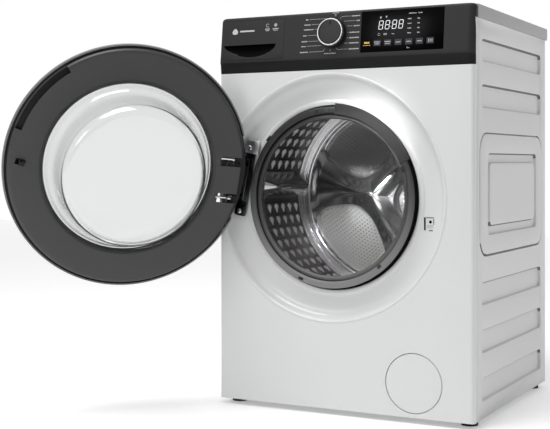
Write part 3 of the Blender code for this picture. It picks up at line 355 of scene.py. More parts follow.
def filled(name, outlines, thickness):
    """Mesh of a flat outline with holes; a thickness of zero gives one layer of faces."""
    curve = bpy.data.curves.new(name, "CURVE")
    curve.dimensions = "2D"
    curve.fill_mode = "BOTH" if thickness else "FRONT"
    curve.extrude = thickness / 2
    for outline in outlines:
        spline = curve.splines.new("POLY")
        spline.points.add(len(outline) - 1)
        for point, spot in zip(spline.points, outline):
            point.co = (spot[0], spot[1], 0.0, 1.0)
        spline.use_cyclic_u = True
    flat = linked(name, curve)
    mesh = bpy.data.meshes.new_from_object(flat.evaluated_get(bpy.context.evaluated_depsgraph_get()))
    bpy.data.objects.remove(flat)
    mesh.materials.clear()
    return tidied(mesh)


def block_mesh(name, low, high, bevel=0.0):
    low, high = Vector(low), Vector(high)
    mesh = bpy.data.meshes.new(name)
    bm = bmesh.new()
    bmesh.ops.create_cube(bm, size=1.0)
    stretch = Matrix.Translation((low + high) / 2) @ Matrix.Diagonal((*(high - low), 1.0))
    bmesh.ops.transform(bm, verts=bm.verts, matrix=stretch)
    if bevel:
        bmesh.ops.bevel(bm, geom=bm.edges[:], offset=bevel, segments=3, affect="EDGES", profile=0.5)
    bm.to_mesh(mesh)
    bm.free()
    return mesh


def block(name, low, high, material, body, slot, where=HERE, bevel=0.0008):
    """A block with rounded edges, given in the machine's terms or in a frame of its own."""
    return new_piece(name, block_mesh(name, low, high, bevel), material, body, slot, where)


def bevelled(item, width):
    step = item.modifiers.new("edges", "BEVEL")
    step.width = width
    step.segments = 2
    step.limit_method = "ANGLE"
    step.angle_limit = math.radians(35.0)


def thickened(item, thickness, offset):
    step = item.modifiers.new("sheet", "SOLIDIFY")
    step.thickness = thickness
    step.offset = offset


def carve(item, meshes, where):
    """Cut closed meshes out of a piece, and keep the result as its mesh."""
    for mesh in meshes:
        tool = linked("tool", mesh)
        tool.matrix_world = where
        step = item.modifiers.new("cut", "BOOLEAN")
        step.solver = "EXACT"
        step.object = tool
        bpy.context.view_layer.update()
        result = bpy.data.meshes.new_from_object(item.evaluated_get(bpy.context.evaluated_depsgraph_get()))
        item.modifiers.remove(step)
        old = item.data
        name = old.name
        item.data = result
        bpy.data.meshes.remove(old)
        result.name = name
        bpy.data.objects.remove(tool)
    item.data.shade_smooth()
    item.data.set_sharp_from_angle(angle=math.radians(35))
    return item


def joined(parts):
    """One list of vertices and faces from several."""
    verts, faces = [], []
    for some_verts, some_faces in parts:
        start = len(verts)
        verts += some_verts
        faces += [tuple(start + i for i in face) for face in some_faces]
    return verts, faces


# ---------------------------------------------------------------- cabinet
ENAMEL = (WHITE, "cabinet", "white_enamel")


def pressed(outline_of, profile):
    """Loops that step inwards from an outline: profile holds (inset, depth); the last loop is filled."""
    verts = [(y, z, depth) for inset, depth in profile for y, z in outline_of(inset)]
    size = len(verts) // len(profile)
    faces = lattice(len(profile), size, columns_meet=True)
    faces.append(tuple(range(len(verts) - size, len(verts))))
    return verts, faces


def side_panel(name, side):
    """Sheet with five long recessed pockets and a large field that steps out, in and out again."""
    front, back = 0.0124, DEPTH - 0.0024
    pocket = [(0.0, 0.0), (0.0006, 0.0003), (0.0016, 0.0024), (0.0026, 0.0052), (0.0034, 0.006),
        (0.006, 0.0062)]
    parts, holes = [], []
    for low, high in ((0.737, 0.784), (0.641, 0.69), (0.233, 0.281), (0.134, 0.183), (0.035, 0.084)):
        middle = (0.275, (low + high) / 2)
        size = (0.45, high - low)

        def outline(inset, middle=middle, size=size):
            return rounded(size[0] - 2 * inset, size[1] - 2 * inset, max(0.014 - inset, 0.003), 5, middle)

        holes.append(outline(0.0))
        parts.append(pressed(outline, pocket))

    def field(inset):
        # The rings are narrower above and below than they are at the ends.
        ends = min(inset, 0.046) * 1.22 + max(0.0, inset - 0.046) * 0.72
        return rounded(0.474 - 2 * ends, 0.258 - 2 * inset, max(0.045 - inset * 0.75, 0.013), 8,
            (0.273, 0.462))

    holes.append(field(0.0))
    parts.append(pressed(field, [(0.0, 0.0), (0.0002, 0.004), (0.0012, 0.004), (0.0022, 0.0012),
        (0.0034, -0.0008), (0.0048, -0.0014), (0.043, -0.0014), (0.044, -0.0008), (0.0448, 0.0018),
        (0.0458, 0.0044), (0.0472, 0.0048), (0.061, 0.0048), (0.062, 0.0042), (0.063, 0.0014),
        (0.0642, -0.0004), (0.066, -0.0008), (0.08, -0.0008)]))
    rim = [(front, 0.0), (back, 0.0), (back, SIDE_TOP), (front, SIDE_TOP)]
    flat = filled(name + "_flat", [rim] + holes, 0.0)
    parts.append(([tuple(v.co) for v in flat.vertices], [tuple(p.vertices) for p in flat.polygons]))
    bpy.data.meshes.remove(flat)
    verts, faces = joined(parts)
    # The sheet's raised fields stand 1.4 mm out, so its plane lies a little more than that inside the width.
    plane = HALF - 0.0015
    mesh = mesh_of(name, [(side * (plane - depth), y, z) for y, z, depth in verts], faces)
    item = new_piece(name, mesh, SIDE, "cabinet", "pale_grey_enamel", HERE, 30.0)

    # Painted shade: the pockets' down-facing slopes are drawn in the dark copy of the enamel.
    def underside(face):
        return face.normal.z * math.copysign(1, face.normal.x * side) < -0.3

    second_finish(mesh, SIDE_PAINTED_SHADE, underside)
    thickened(item, 0.0009, -1.0)
    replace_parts(item, "side_panel_" + ("left" if side < 0 else "right"))


def channel(x_half, corner, y_back, thickness, steps=6):
    """Plan outline (x, y) of a sheet front with rounded vertical edges and side returns."""
    def face_line(radius):
        right = [(x_half - corner + radius, y_back)]
        for i in range(steps + 1):
            a = math.pi / 2 * i / steps
            right.append((x_half - corner + radius * math.cos(a), corner - radius * math.sin(a)))
        return right + [(-x, y) for x, y in reversed(right)]

    return face_line(corner) + face_line(corner - thickness)[::-1]


DISH = [(0.269, 0.0), (0.2665, 0.0001), (0.2645, 0.0006), (0.2628, 0.002), (0.2616, 0.0045), (0.2608, 0.008),
    (0.2598, 0.0115), (0.2578, 0.015), (0.2545, 0.0184), (0.25, 0.0212), (0.244, 0.0232), (0.237, 0.0243),
    (0.224, 0.0251), (0.214, 0.0255), (0.2125, 0.0253), (0.2112, 0.0243), (0.21, 0.023), (0.2085, 0.0225),
    (0.2008, 0.0225), (0.2004, 0.0228), (0.2004, 0.0245)]


def front_panel():
    high = PANEL_BOTTOM - 0.0004
    item = new_piece("front_sheet", filled("front_sheet", [channel(HALF, 0.0085, 0.0122, 0.0012)], high),
        *ENAMEL, Matrix.Translation(at(0, 0, high / 2)))
    carve(item, [filled("port", [circle(0.269, ROUND)], 0.05)], PORTHOLE)
    carve(item, [filled("hatch", [circle(HATCH_R + 0.001, 72)], 0.05)], HATCH)
    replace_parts(item, "front_panel")
    thickened(turned("front_recess", DISH, *ENAMEL, closed=False, smooth=60.0), 0.0008, 0.0)
    # The turned edge round the filter opening.
    turned("hatch_frame", [(HATCH_R + 0.001, 0.0002), (HATCH_R + 0.0016, 0.0012), (HATCH_R + 0.0014, 0.006),
        (HATCH_R + 0.0006, 0.006), (HATCH_R + 0.0006, 0.0012)], *ENAMEL, HATCH, 72)
    # Light pocket that the hinge bracket sits in.
    pocket = new_piece("hinge_pocket", filled("hinge_pocket", [rounded(0.042, 0.186, 0.008, 5)], 0.0022),
        *ENAMEL, HINGE_FRAME @ Matrix.Translation((-0.218, 0.0236, -0.004)) @ UPRIGHT)
    bevelled(pocket, 0.0008)
    # Lock slot: a pale plate with its slit, shutter and moulded lines.
    slot_at = Matrix.Translation(at(HOOK_X - 0.0115, 0.0243, HOOK_Z)) @ UPRIGHT

    def flat_piece(name, bars, thickness, material, slot):
        outlines = [rounded(wide, high, radius, steps, middle) for wide, high, radius, steps, middle in bars]
        return new_piece(name, filled(name, outlines, thickness), material, "cabinet", slot, slot_at)

    plate = [(0.024, 0.031, 0.0015, 3, (0.0085, 0.0))]
    bevelled(flat_piece("lock_slot_plate", plate, 0.0012, SIDE, "pale_grey_enamel"), 0.0004)
    # Black flats for the slit and the dark lines round it: painted shade in the opening and along its edges.
    dark = [(0.0036, 0.027, 0.001, 3, (-0.0012, 0.0)), (0.0165, 0.0016, 0.0005, 2, (0.01, 0.0127)),
        (0.0014, 0.012, 0.0005, 2, (0.0183, 0.0045)), (0.0056, 0.006, 0.001, 2, (0.011, 0.004)),
        (0.0085, 0.0018, 0.0005, 2, (0.0125, -0.014))]
    flat_piece("lock_slot_painted_shade", dark, 0.0016, PIT, "black_plastic")
    lines = [(0.015, 0.001, 0.0004, 2, (0.01, z)) for z in (-0.003, -0.0056, -0.0082)]
    flat_piece("lock_slot_lines", lines, 0.0014, LID, "grey_rubber")


def hatch():
    disc = turned("hatch_disc", [(0.0, 0.0004), (HATCH_R - 0.003, 0.0004), (HATCH_R - 0.0014, 0.0006),
        (HATCH_R - 0.0006, 0.0014), (HATCH_R - 0.0004, 0.0022), (0.0, 0.0022)], WHITE, "hatch",
        "white_enamel", HATCH, 72)
    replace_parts(disc, "filter_hatch")
    left = HATCH_X - HATCH_R
    block("hatch_hinge_block", (left + 0.0045, 0.0022, HATCH_Z - 0.012),
        (left + 0.0125, 0.0055, HATCH_Z + 0.012), WHITE, "hatch", "white_enamel", bevel=0.0006)


def top_cover():
    low, high = (-HALF - 0.0004, 0.0254, SIDE_TOP + 0.0004), (HALF + 0.0004, DEPTH + OVERHANG, TOP)
    item = block("worktop", low, high, LID, "cabinet", "worktop_grey", bevel=0.0025)
    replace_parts(item, "top_cover")


side_panel("side_sheet_left", -1)
side_panel("side_sheet_right", 1)
front_panel()
hatch()
top_cover()


# ---------------------------------------------------------------- control panel
def face_shell(name, x0, x1, levels, end_left, end_right, back):
    """Front moulding lofted through levels (z, depth of the face, pull-in of its ends)."""
    def end(x, sign, corner, y):
        turn = [math.pi / 2 * i / 8 for i in range(9)]
        return [(x + sign * corner * (1 - math.cos(a)), y + corner * (1 - math.sin(a)) * 0.62) for a in turn]

    verts = []
    for z, y, pull in levels:
        left, right = end(x0 + pull, 1, end_left, y), end(x1 - pull, -1, end_right, y)
        outline = [(left[0][0], back)] + left + right[::-1] + [(right[0][0], back)]
        verts += [(px, py, z) for px, py in outline]
    size = len(verts) // len(levels)
    faces = lattice(len(levels), size, columns_meet=True)
    faces.append(tuple(reversed(range(size))))
    faces.append(tuple(range(len(verts) - size, len(verts))))
    return mesh_of(name, verts, faces)


def panel_levels(low, high):
    """Levels of the panel's face between two heights: a lower band, the lip, then the sloping face."""
    band = [(PANEL_BOTTOM, 0.0028, 0.0), (PANEL_BOTTOM + 0.001, 0.0018, 0.0), (0.74, 0.0006, 0.0),
        (LIP - 0.0028, -0.0006, 0.0), (LIP - 0.001, -0.0017, 0.0), (LIP + 0.0006, -0.002, 0.0),
        (LIP + 0.004, face_y(LIP + 0.004) - 0.0002, 0.0)]
    upper = [(z, face_y(z), 0.0) for z in FACE_LEVELS]
    rounding, radius = [], 0.0085
    for i in range(8):
        a = math.pi / 2 * i / 7
        z = TOP - radius + radius * math.sin(a)
        rounding.append((z, face_y(z) + 0.0035 * (1 - math.cos(a)) ** 1.5, radius * (1 - math.cos(a))))
    return [level for level in band + upper + rounding if low - 1e-6 <= level[0] <= high + 1e-6]


def pull_cutter():
    """Crescent finger pull: deepest under its straight top edge, running out to nothing below."""
    columns, rows = 40, 12
    size = rows + 1
    verts = []
    for i in range(columns + 1):
        s = -1 + 2 * i / columns
        width = math.sqrt(max(0.0, 1 - s * s))
        skew = 1 - 0.25 * (s * s) + 0.1 * s
        low_z = PULL_TOP - 0.0275 * (width ** 0.9) * skew - 0.0006
        for j in range(size):
            t = j / rows
            z = low_z + (PULL_TOP - low_z) * t
            deep = 0.0128 * (width ** 0.6) * (t ** 0.6)
            verts.append((PULL_MIDDLE + s * PULL_HALF, face_y(z) - 0.00015 + deep, z))
    count = len(verts)
    verts += [(x, PULL_FRONT, z) for x, _, z in verts]
    faces = lattice(columns + 1, size)
    faces += [tuple(count + i for i in reversed(face)) for face in faces]
    edge = [i * size for i in range(columns + 1)] + [columns * size + j for j in range(1, size)] \
        + [i * size + rows for i in range(columns - 1, -1, -1)] + list(range(rows - 1, 0, -1))
    faces += [(a, b, count + b, count + a) for a, b in zip(edge, edge[1:] + edge[:1])]
    return mesh_of("pull", verts, faces, weld=False)


def printed(name, quads, ink, body, slot):
    """Flat marks printed on the face, as one piece."""
    verts, faces = [], []
    for quad in quads:
        faces.append(tuple(range(len(verts), len(verts) + len(quad))))
        verts += quad
    new_piece(name, mesh_of(name, verts, faces, weld=False), ink, body, slot, HERE, 0)


def on_face(x, z, lift=0.00012):
    """A place just proud of the sloping face."""
    return (x, face_y(z) - lift, z)


def line_quads(points, width):
    """Thin strips along a path on the face."""
    quads = []
    for (x0, z0), (x1, z1) in zip(points, points[1:]):
        along = Vector((x1 - x0, z1 - z0))
        if along.length < 1e-7:
            continue
        off = Vector((-along.y, along.x)).normalized() * width / 2
        quads.append([on_face(x0 + off.x, z0 + off.y), on_face(x0 - off.x, z0 - off.y),
            on_face(x1 - off.x, z1 - off.y), on_face(x1 + off.x, z1 + off.y)])
    return quads


def caption(x, z, length, height, seed):
    """A row of small uneven bars that stands for a printed caption, with no letters in it."""
    quads, here, state = [], x, seed * 7919
    while here < x + length - 0.0004:
        # A fixed sequence of numbers sets the bars' sizes, the same in every run.
        state = (state * 1103515245 + 12345) % 2147483648
        wide = 0.0007 + 0.0007 * ((state >> 8) % 100) / 100
        tall = height * (0.62 + 0.38 * ((state >> 12) % 100) / 100)
        end = min(here + wide, x + length)
        quads.append([on_face(here, z - height / 2), on_face(end, z - height / 2),
            on_face(end, z - height / 2 + tall), on_face(here, z - height / 2 + tall)])
        here = end + 0.00035
    return quads


def ring_quads(x, z, radius, width, start=0.0, end=2 * math.pi, steps=24):
    points = [(x + radius * math.cos(start + (end - start) * i / steps),
        z + radius * math.sin(start + (end - start) * i / steps)) for i in range(steps + 1)]
    return line_quads(points, width)


def control_panel():
    levels = panel_levels(PANEL_BOTTOM, TOP)
    mesh = face_shell("panel_moulding", -HALF, HALF, levels, 0.008, 0.016, 0.0246)
    item = new_piece("panel_moulding", mesh, PANEL, "cabinet", "black_plastic", HERE, 25.0)
    # The band under the lip is drawn in the darker copy: painted shade.
    second_finish(mesh, PANEL_LIP_SHADE, lambda face: face.center.z < LIP - 0.0002)
    hollow = block_mesh("hollow", (-HALF + 0.004, 0.012, PANEL_BOTTOM - 0.01),
        (HALF - 0.004, 0.05, TOP - 0.004))
    mouth = block_mesh("mouth", (DRAWER[0] - 0.0004, -0.03, LIP + 0.003),
        (DRAWER[1] + 0.0004, 0.03, TOP - 0.0075))
    seat = block_mesh("seat", (DISPLAY[0], -0.03, DISPLAY[2]), (DISPLAY[1], 0.03, DISPLAY[3]))
    carve(item, [hollow, mouth, seat], HERE)
    carve(item, [filled("spindle_hole", [circle(0.006, 24)], 0.06)], along_y(DIAL_X, 0.0, DIAL_Z))
    # The panel's foot behind the worktop's edge, under the fascia.
    carve(item, [block_mesh("under", (-0.4, 0.0118, 0.5), (0.4, 0.05, SIDE_TOP + 0.0004))], HERE)
    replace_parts(item, "control_panel")

    left, right, low, high = DISPLAY
    middle_z = (low + high) / 2
    window = Matrix.Translation(at((left + right) / 2, face_y(middle_z) + 0.0012, middle_z)) \
        @ Matrix.Rotation(-LEAN, 4, "X")
    corner = Vector(((right - left) / 2 - 0.0004, 0.0012, (high - low) / 2 - 0.0004))
    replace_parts(block("display_pane", -corner, corner, SCREEN, "cabinet", "gloss_black", window, 0.0003),
        "display_window")


def bar(x0, z0, x1, z1, width):
    return line_quads([(x0, z0), (x1, z1)], width)


def seven_segment(x, z, wide=0.0086, tall=0.0176, thick=0.0011, lean=0.12):
    """All seven strokes of one digit, leaning to the right."""
    gap = thick * 0.55
    left, right = x - wide / 2, x + wide / 2
    top, foot = z + tall / 2, z - tall / 2
    strokes = [(left + gap, level, right - gap, level) for level in (top, z, foot)]
    for end in (left, right):
        strokes += [(end, top - gap, end, z + gap), (end, z - gap, end, foot + gap)]
    quads = []
    for x0, z0, x1, z1 in strokes:
        quads += bar(x0 + (z0 - z) * lean, z0, x1 + (z1 - z) * lean, z1, thick)
    return quads


def key(number):
    """The printed marks on one of the touch keys after the first."""
    x = KEY_START + KEY_PITCH * number
    if number in (1, 2):
        return caption(x - 0.007, 0.782, 0.014, 0.0022, 40 + number) \
            + caption(x - 0.0055, 0.778, 0.011, 0.002, 50 + number)
    if number < KEYS - 1:
        return caption(x - 0.0052, 0.78, 0.0104, 0.0024, 60 + number)
    high, low = 0.7832, 0.7768
    return bar(x - 0.0036, high, x - 0.0036, low, 0.0012) + bar(x + 0.004, high, x + 0.004, low, 0.0012) \
        + line_quads([(x - 0.0014, high), (x + 0.0016, 0.78), (x - 0.0014, low)], 0.0011)


def display_marks():
    glow, fields = [], []
    for x in (0.0925, 0.1071, 0.1229, 0.1375):
        glow += seven_segment(x, 0.8174)
    for z in (0.814, 0.821):
        glow += bar(0.1146, z, 0.1155, z, 0.0009)
    # Small state marks above and under the digits: a lock, a tap, a clock, a float and a bar.
    dim = ring_quads(0.0915, 0.8345, 0.0014, 0.0006, 0.0, math.pi, 8)
    dim += bar(0.0897, 0.833, 0.0933, 0.833, 0.0024)
    dim += bar(0.102, 0.8358, 0.1064, 0.8358, 0.0008) + bar(0.1042, 0.8358, 0.1042, 0.8325, 0.002)
    dim += ring_quads(0.089, 0.7976, 0.0024, 0.0007, 0.6, 6.0, 14)
    dim += ring_quads(0.101, 0.7978, 0.0016, 0.0009) + ring_quads(0.1048, 0.7978, 0.0016, 0.0009)
    dim += line_quads([(0.1175, 0.7978), (0.1203, 0.7978), (0.1213, 0.7971), (0.1228, 0.7978)], 0.0012)
    dim += caption(0.1545, 0.839, 0.0175, 0.002, 3) + caption(0.1755, 0.839, 0.0085, 0.002, 5)
    for row in range(4):
        z = 0.8276 - 0.0099 * row
        dim += caption(0.1525, z, 0.008, 0.0024, 11 + row) + caption(0.1742, z, 0.0052, 0.0026, 17 + row)
    gold = caption(KEY_START - 0.006, 0.7815, 0.012, 0.0048, 29) \
        + caption(KEY_START - 0.0085, 0.7755, 0.017, 0.0012, 31)
    for number in range(1, KEYS):
        x = KEY_START + KEY_PITCH * number
        corners = ((-0.0078, 0.7735), (0.0078, 0.7735), (0.0078, 0.786), (-0.0078, 0.786))
        fields.append([on_face(x + dx, z, 0.00008) for dx, z in corners])
        dim += key(number)
    dim += ring_quads(0.1537, 0.7671, 0.0012, 0.0007) + bar(0.1556, 0.7664, 0.1586, 0.7664, 0.0008)
    for name, quads, ink in (("display_lit_marks", glow, GLOW), ("display_dim_marks", dim, DIM),
            ("key_fields", fields, KEY_FIELD), ("first_key_mark", gold, GOLD)):
        printed(name, quads, ink, "cabinet", "gloss_black")


def dial():
    # The outlines are drawn for a knob of 25.8 mm radius, and brought to the dial's size past its spindle.
    def knob(name, outline, material):
        outline = [(r * DIAL_R / 0.0258 if r > 0.01 else r, h) for r, h in outline]
        return turned(name, outline, material, "dial", "black_plastic", where, 96)

    where = along_y(DIAL_X, face_y(DIAL_Z), DIAL_Z) @ Matrix.Rotation(-LEAN, 4, "X")
    body = knob("dial_knob", [(0.0, -0.0148), (0.0212, -0.0148), (0.0222, -0.0144), (0.0226, -0.0134),
        (0.0228, -0.011), (0.0248, -0.01), (0.0254, -0.0085), (0.0258, -0.0012), (0.0252, -0.0008),
        (0.0035, -0.0008), (0.0035, 0.0125), (0.0, 0.0125)], BLACK)
    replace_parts(body, "program_dial")
    knob("dial_face", [(0.0, -0.0153), (0.0195, -0.0153), (0.0211, -0.0151), (0.0216, -0.0146),
        (0.0, -0.0146)], KNOB)
    knob("dial_ring", [(0.0218, -0.0146), (0.0222, -0.0159), (0.0231, -0.0163), (0.0241, -0.0159),
        (0.0247, -0.0147), (0.025, -0.01), (0.0229, -0.0112), (0.0226, -0.0146)], CHROME)
    block("dial_pointer", (-0.001, -0.0235, -0.0157), (0.001, -0.0158, -0.0151), PIT, "dial", "black_plastic",
        where, 0.0002)


def dial_marks():
    def reach(z):
        """How far the scale's lines come in at this height."""
        return math.sqrt(max(DIAL_LEADER ** 2 - (z - DIAL_Z) ** 2, 0.00003))

    marks = []
    left = ((0.8387, -0.085, 0.007), (0.8274, -0.088, 0.015), (0.8167, -0.0885, 0.024),
        (0.8037, -0.09, 0.009), (0.7908, -0.0925, 0.0135), (0.7804, -0.093, 0.012), (0.7675, -0.0955, 0.019))
    for number, (z, start, length) in enumerate(left):
        marks += caption(start, z, length, SCALE_TEXT, 70 + number)
        end = start + length + 0.0025
        path = [(end, z), (max(DIAL_X - reach(z), end + 0.004), z)]
        if number == 6:
            path[1:] = [(DIAL_X - 0.0235, z), (DIAL_X - 0.02, z + 0.001), (DIAL_X - 0.0165, z + 0.0055)]
        elif number == 0:
            path[1:] = [(DIAL_X - 0.008, z)]
        marks += line_quads(path, LEADER_WIDTH)
    right = ((0.8411, 0.024), (0.8306, 0.0345), (0.8197, 0.0295), (0.8058, 0.0205), (0.7943, 0.0195),
        (0.783, 0.0205), (0.7702, 0.0205))
    for number, (z, start) in enumerate(right):
        marks += caption(start, z, SCALE_END - start, SCALE_TEXT, 90 + number)
        path = [(start - 0.0025, z), (min(DIAL_X + reach(z), start - 0.005), z)]
        if number == 0:
            path[1:] = [(DIAL_X + 0.0215, z), (DIAL_X + 0.019, z - 0.001), (DIAL_X + 0.0165, z - 0.005)]
        elif number == 6:
            path[1:] = [(DIAL_X + 0.013, z), (DIAL_X + 0.0105, z + 0.0035)]
        marks += line_quads(path, LEADER_WIDTH)
    marks += line_quads([(DIAL_X + 0.0034, 0.8462), (DIAL_X + 0.0052, 0.8426), (DIAL_X + 0.007, 0.8462),
        (DIAL_X + 0.0034, 0.8462)], 0.0007)
    marks += caption(DIAL_X - 0.002, 0.85, 0.015, 0.0024, 109)
    marks += bar(DIAL_X - 0.004, 0.7715, DIAL_X - 0.004, 0.7668, 0.0006)
    marks += caption(DIAL_X - 0.018, 0.7625, 0.028, SCALE_TEXT, 113)
    printed("dial_scale_marks", marks, INK, "cabinet", "black_plastic")


# Faces inside the finger pull, which are drawn in black as painted shade.
def pull_painted_shade(face):
    x, y, z = face.center
    return y > face_y(z) + 0.001 and abs(x - PULL_MIDDLE) < PULL_HALF and PULL_LOW < z < PULL_TOP + 0.0001


def drawer():
    low, high = LIP + 0.0034, TOP - 0.0079
    levels = [(low, face_y(low), 0.0), (low + 0.0006, face_y(low) - 0.0002, 0.0)] \
        + [(z, face_y(z), 0.0) for z in FACE_LEVELS] \
        + [(high - 0.0006, face_y(high), 0.0), (high, face_y(high) + 0.0002, 0.0)]
    mesh = face_shell("drawer_face", DRAWER[0], DRAWER[1], levels, 0.0006, 0.0006, 0.0164)
    item = new_piece("drawer_face", mesh, PANEL, "drawer", "black_plastic", HERE, 25.0)
    carve(item, [pull_cutter()], HERE)
    # Painted shade: the pull's hollow is drawn black.
    second_finish(item.data, PIT, pull_painted_shade)
    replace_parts(item, "drawer_front")
    marks = ring_quads(-0.179, 0.8315, 0.0036, 0.0009, 0.5, 5.8) + caption(-0.185, 0.8238, 0.012, 0.003, 131)
    marks += caption(-0.1835, 0.8202, 0.009, 0.0022, 133)
    marks += ring_quads(-0.159, 0.8318, 0.0022, 0.003) + caption(-0.1665, 0.824, 0.015, 0.0032, 137)
    marks += caption(-0.164, 0.8204, 0.01, 0.0022, 135)
    # A plain drop and a bar where a maker would put a badge.
    turn = [2 * math.pi * i / 20 for i in range(20)]
    drop = [on_face(-0.261 + 0.0068 * math.sin(a) * (1 - 0.35 * math.cos(a)),
        0.8215 + 0.0066 * math.cos(a)) for a in turn]
    printed("drawer_drop_mark", [drop], INK, "drawer", "black_plastic")
    marks += bar(-0.2485, 0.8215, -0.212, 0.8215, 0.0034)
    marks += caption(-0.2732, 0.7597, 0.027, 0.003, 139) + caption(-0.168, 0.7575, 0.0085, 0.003, 149)
    printed("drawer_print", marks, INK, "drawer", "black_plastic")


control_panel()
display_marks()
dial()
dial_marks()
drawer()


# ---------------------------------------------------------------- turned sheets
def soften(path, radius, steps=5):
    """A path with each inner corner replaced by a curve."""
    points = [Vector(p) for p in path]
    smooth = [points[0]]
    for before, corner, after in zip(points, points[1:], points[2:]):
        into, out = before - corner, after - corner
        cut = min(radius, into.length * 0.48, out.length * 0.48)
        start, end = corner + into.normalized() * cut, corner + out.normalized() * cut
        for i in range(steps + 1):
            t = i / steps
            smooth.append(start * (1 - t) ** 2 + corner * 2 * t * (1 - t) + end * t ** 2)
    smooth.append(points[-1])
    return [tuple(p) for p in smooth]


def sheet_outline(path, thickness):
    """Closed outline of a sheet that follows a path, its thickness laid on the path's left."""
    points = [Vector(p) for p in path]
    offset = []
    for i, point in enumerate(points):
        before = (point - points[i - 1]).normalized() if i else None
        after = (points[i + 1] - point).normalized() if i + 1 < len(points) else None
        first, second = before or after, after or before
        normal = Vector((-first.y - second.y, first.x + second.x)).normalized()
        stretch = normal.dot(Vector((-first.y, first.x)))
        offset.append(point + normal * thickness / max(stretch, 0.5))
    return [tuple(p) for p in points] + [(max(0.0, p.x), p.y) for p in reversed(offset)]


def spindle(name, low, high, radius, material, body, slot, edge=0.0006, steps=32):
    """A round bar between two places, with rounded ends."""
    run = high - low
    where = Matrix.Translation(low) @ run.to_track_quat("Z", "Y").to_matrix().to_4x4()
    long = run.length
    profile = [(0.0, 0.0), (radius - edge, 0.0), (radius - edge * 0.3, edge * 0.3), (radius, edge),
        (radius, long - edge), (radius - edge * 0.3, long - edge * 0.3), (radius - edge, long), (0.0, long)]
    return turned(name, profile, material, body, slot, where, steps)


# ---------------------------------------------------------------- door
DOOR = OPENED @ PORTHOLE
SHELL_PATH = [(0.196, -0.0455), (0.225, -0.0468), (0.25, -0.041), (0.2635, -0.028), (0.268, -0.015),
    (0.2665, -0.006)]
RING_PATH = [(0.183, -0.003), (0.1855, 0.0025), (0.192, 0.0045), (0.25, 0.0045), (0.256, 0.0025),
    (0.2585, -0.0025), (0.2585, -0.028)]
BOWL_PATH = [(0.189, -0.0075), (0.1815, -0.0075), (0.1765, 0.004), (0.165, 0.018), (0.16, 0.04),
    (0.152, 0.085), (0.143, 0.098), (0.13, 0.1015), (0.0, 0.103)]
BOWL_DEPTH, BOWL_SHIFT = 0.103, 0.003         # the glass drifts sideways this much over its depth
CHAMFER_R = 0.1922                            # the darker band round the glass ends here


def arm_heights():
    return [ARM_MIDDLE + side * ARM_PITCH / 2 for side in (1, -1)]


def chord_cutter():
    return block_mesh("chord", (-0.3, -0.1, -0.3), (-DOOR_CHORD, 0.1, 0.3))


def rim_room():
    """The room that the open door's rim leaves round the edge of the front's recess."""
    return lathe("rim_room", [(0.2582, -0.0015), (0.32, -0.0015), (0.32, 0.03), (0.248, 0.03),
        (0.248, 0.0205), (0.2582, 0.0105)])


def door():
    shell = turned("door_outer_shell", sheet_outline(soften(SHELL_PATH, 0.02), 0.003), SHELL, "door",
        "door_shell_grey", DOOR, 160)
    carve(shell, [chord_cutter()], OPENED @ HINGE_FRAME)
    carve(shell, [rim_room()], PORTHOLE)
    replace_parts(shell, "door_shell")

    pane = turned("door_front_pane", [(0.0, -0.05), (0.12, -0.0495), (0.185, -0.0475), (0.1955, -0.0457),
        (0.1957, -0.0427), (0.1955, -0.0425), (0.0, -0.046)], GLASS, "door", "glass", DOOR, 160)
    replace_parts(pane, "door_window")

    mesh = lathe("door_ring", sheet_outline(soften(RING_PATH, 0.0022, 3), -0.003), 160)
    ring = new_piece("door_ring", mesh, RING, "door", "dark_grey_plastic", DOOR)
    second_finish(mesh, RING_DARK, lambda face: face.center.xy.length < CHAMFER_R)
    slots = [block_mesh("arm_slot", (-0.26, -0.05, height - 0.0105), (-0.2005, 0.02, height + 0.0105))
             for height in arm_heights()]
    carve(ring, [chord_cutter()] + slots, OPENED @ HINGE_FRAME)
    carve(ring, [rim_room()], PORTHOLE)
    notch = lathe("notch", [(0.243, -0.008), (0.3, -0.008), (0.3, 0.03), (0.243, 0.03)], 30, True,
        (math.radians(-41), math.radians(-3)))
    carve(ring, [notch], DOOR)
    carve(ring, [block_mesh("hook_window", (HOOK_X - 0.0105, -0.02, HOOK_Z - 0.0065),
        (HOOK_X + 0.0105, 0.02, HOOK_Z + 0.0065))], OPENED @ HERE)
    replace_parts(ring, "door_inner_ring")
    # The floor of the notch in the ring.
    turned("door_notch_floor", sheet_outline([(0.2385, -0.0065), (0.25, -0.0105), (0.263, -0.0105)], -0.001),
        BLACK, "door", "dark_grey_plastic", DOOR, 160)

    bowl = lathe("door_bowl", sheet_outline(soften(BOWL_PATH, 0.012, 6), 0.0035), 160)
    for vertex in bowl.vertices:
        vertex.co.x += BOWL_SHIFT * max(0.0, min(1.0, vertex.co.z / BOWL_DEPTH))
    piece = new_piece("door_bowl", bowl, GLASS, "door", "glass", DOOR, 50.0)
    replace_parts(piece, "door_glass")
    # Seal that seats the bowl's flange in the ring.
    turned("door_bowl_seal", [(0.1822, -0.0072), (0.19, -0.0072), (0.19, -0.0035), (0.1835, -0.0035)],
        DARK_RUBBER, "door", "dark_grey_plastic", DOOR, 160)

    closed = OPENED @ HERE
    hook = block("latch_shank", (HOOK_X - 0.008, -0.016, HOOK_Z - 0.0045),
        (HOOK_X - 0.003, 0.0222, HOOK_Z + 0.0045), BLACK, "latch_hook", "black_plastic", closed, 0.0009)
    block("latch_nose", (HOOK_X - 0.005, 0.0162, HOOK_Z - 0.0045), (HOOK_X + 0.0045, 0.0222, HOOK_Z + 0.0045),
        BLACK, "latch_hook", "black_plastic", closed, 0.0012)
    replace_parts(hook, "door_hook")


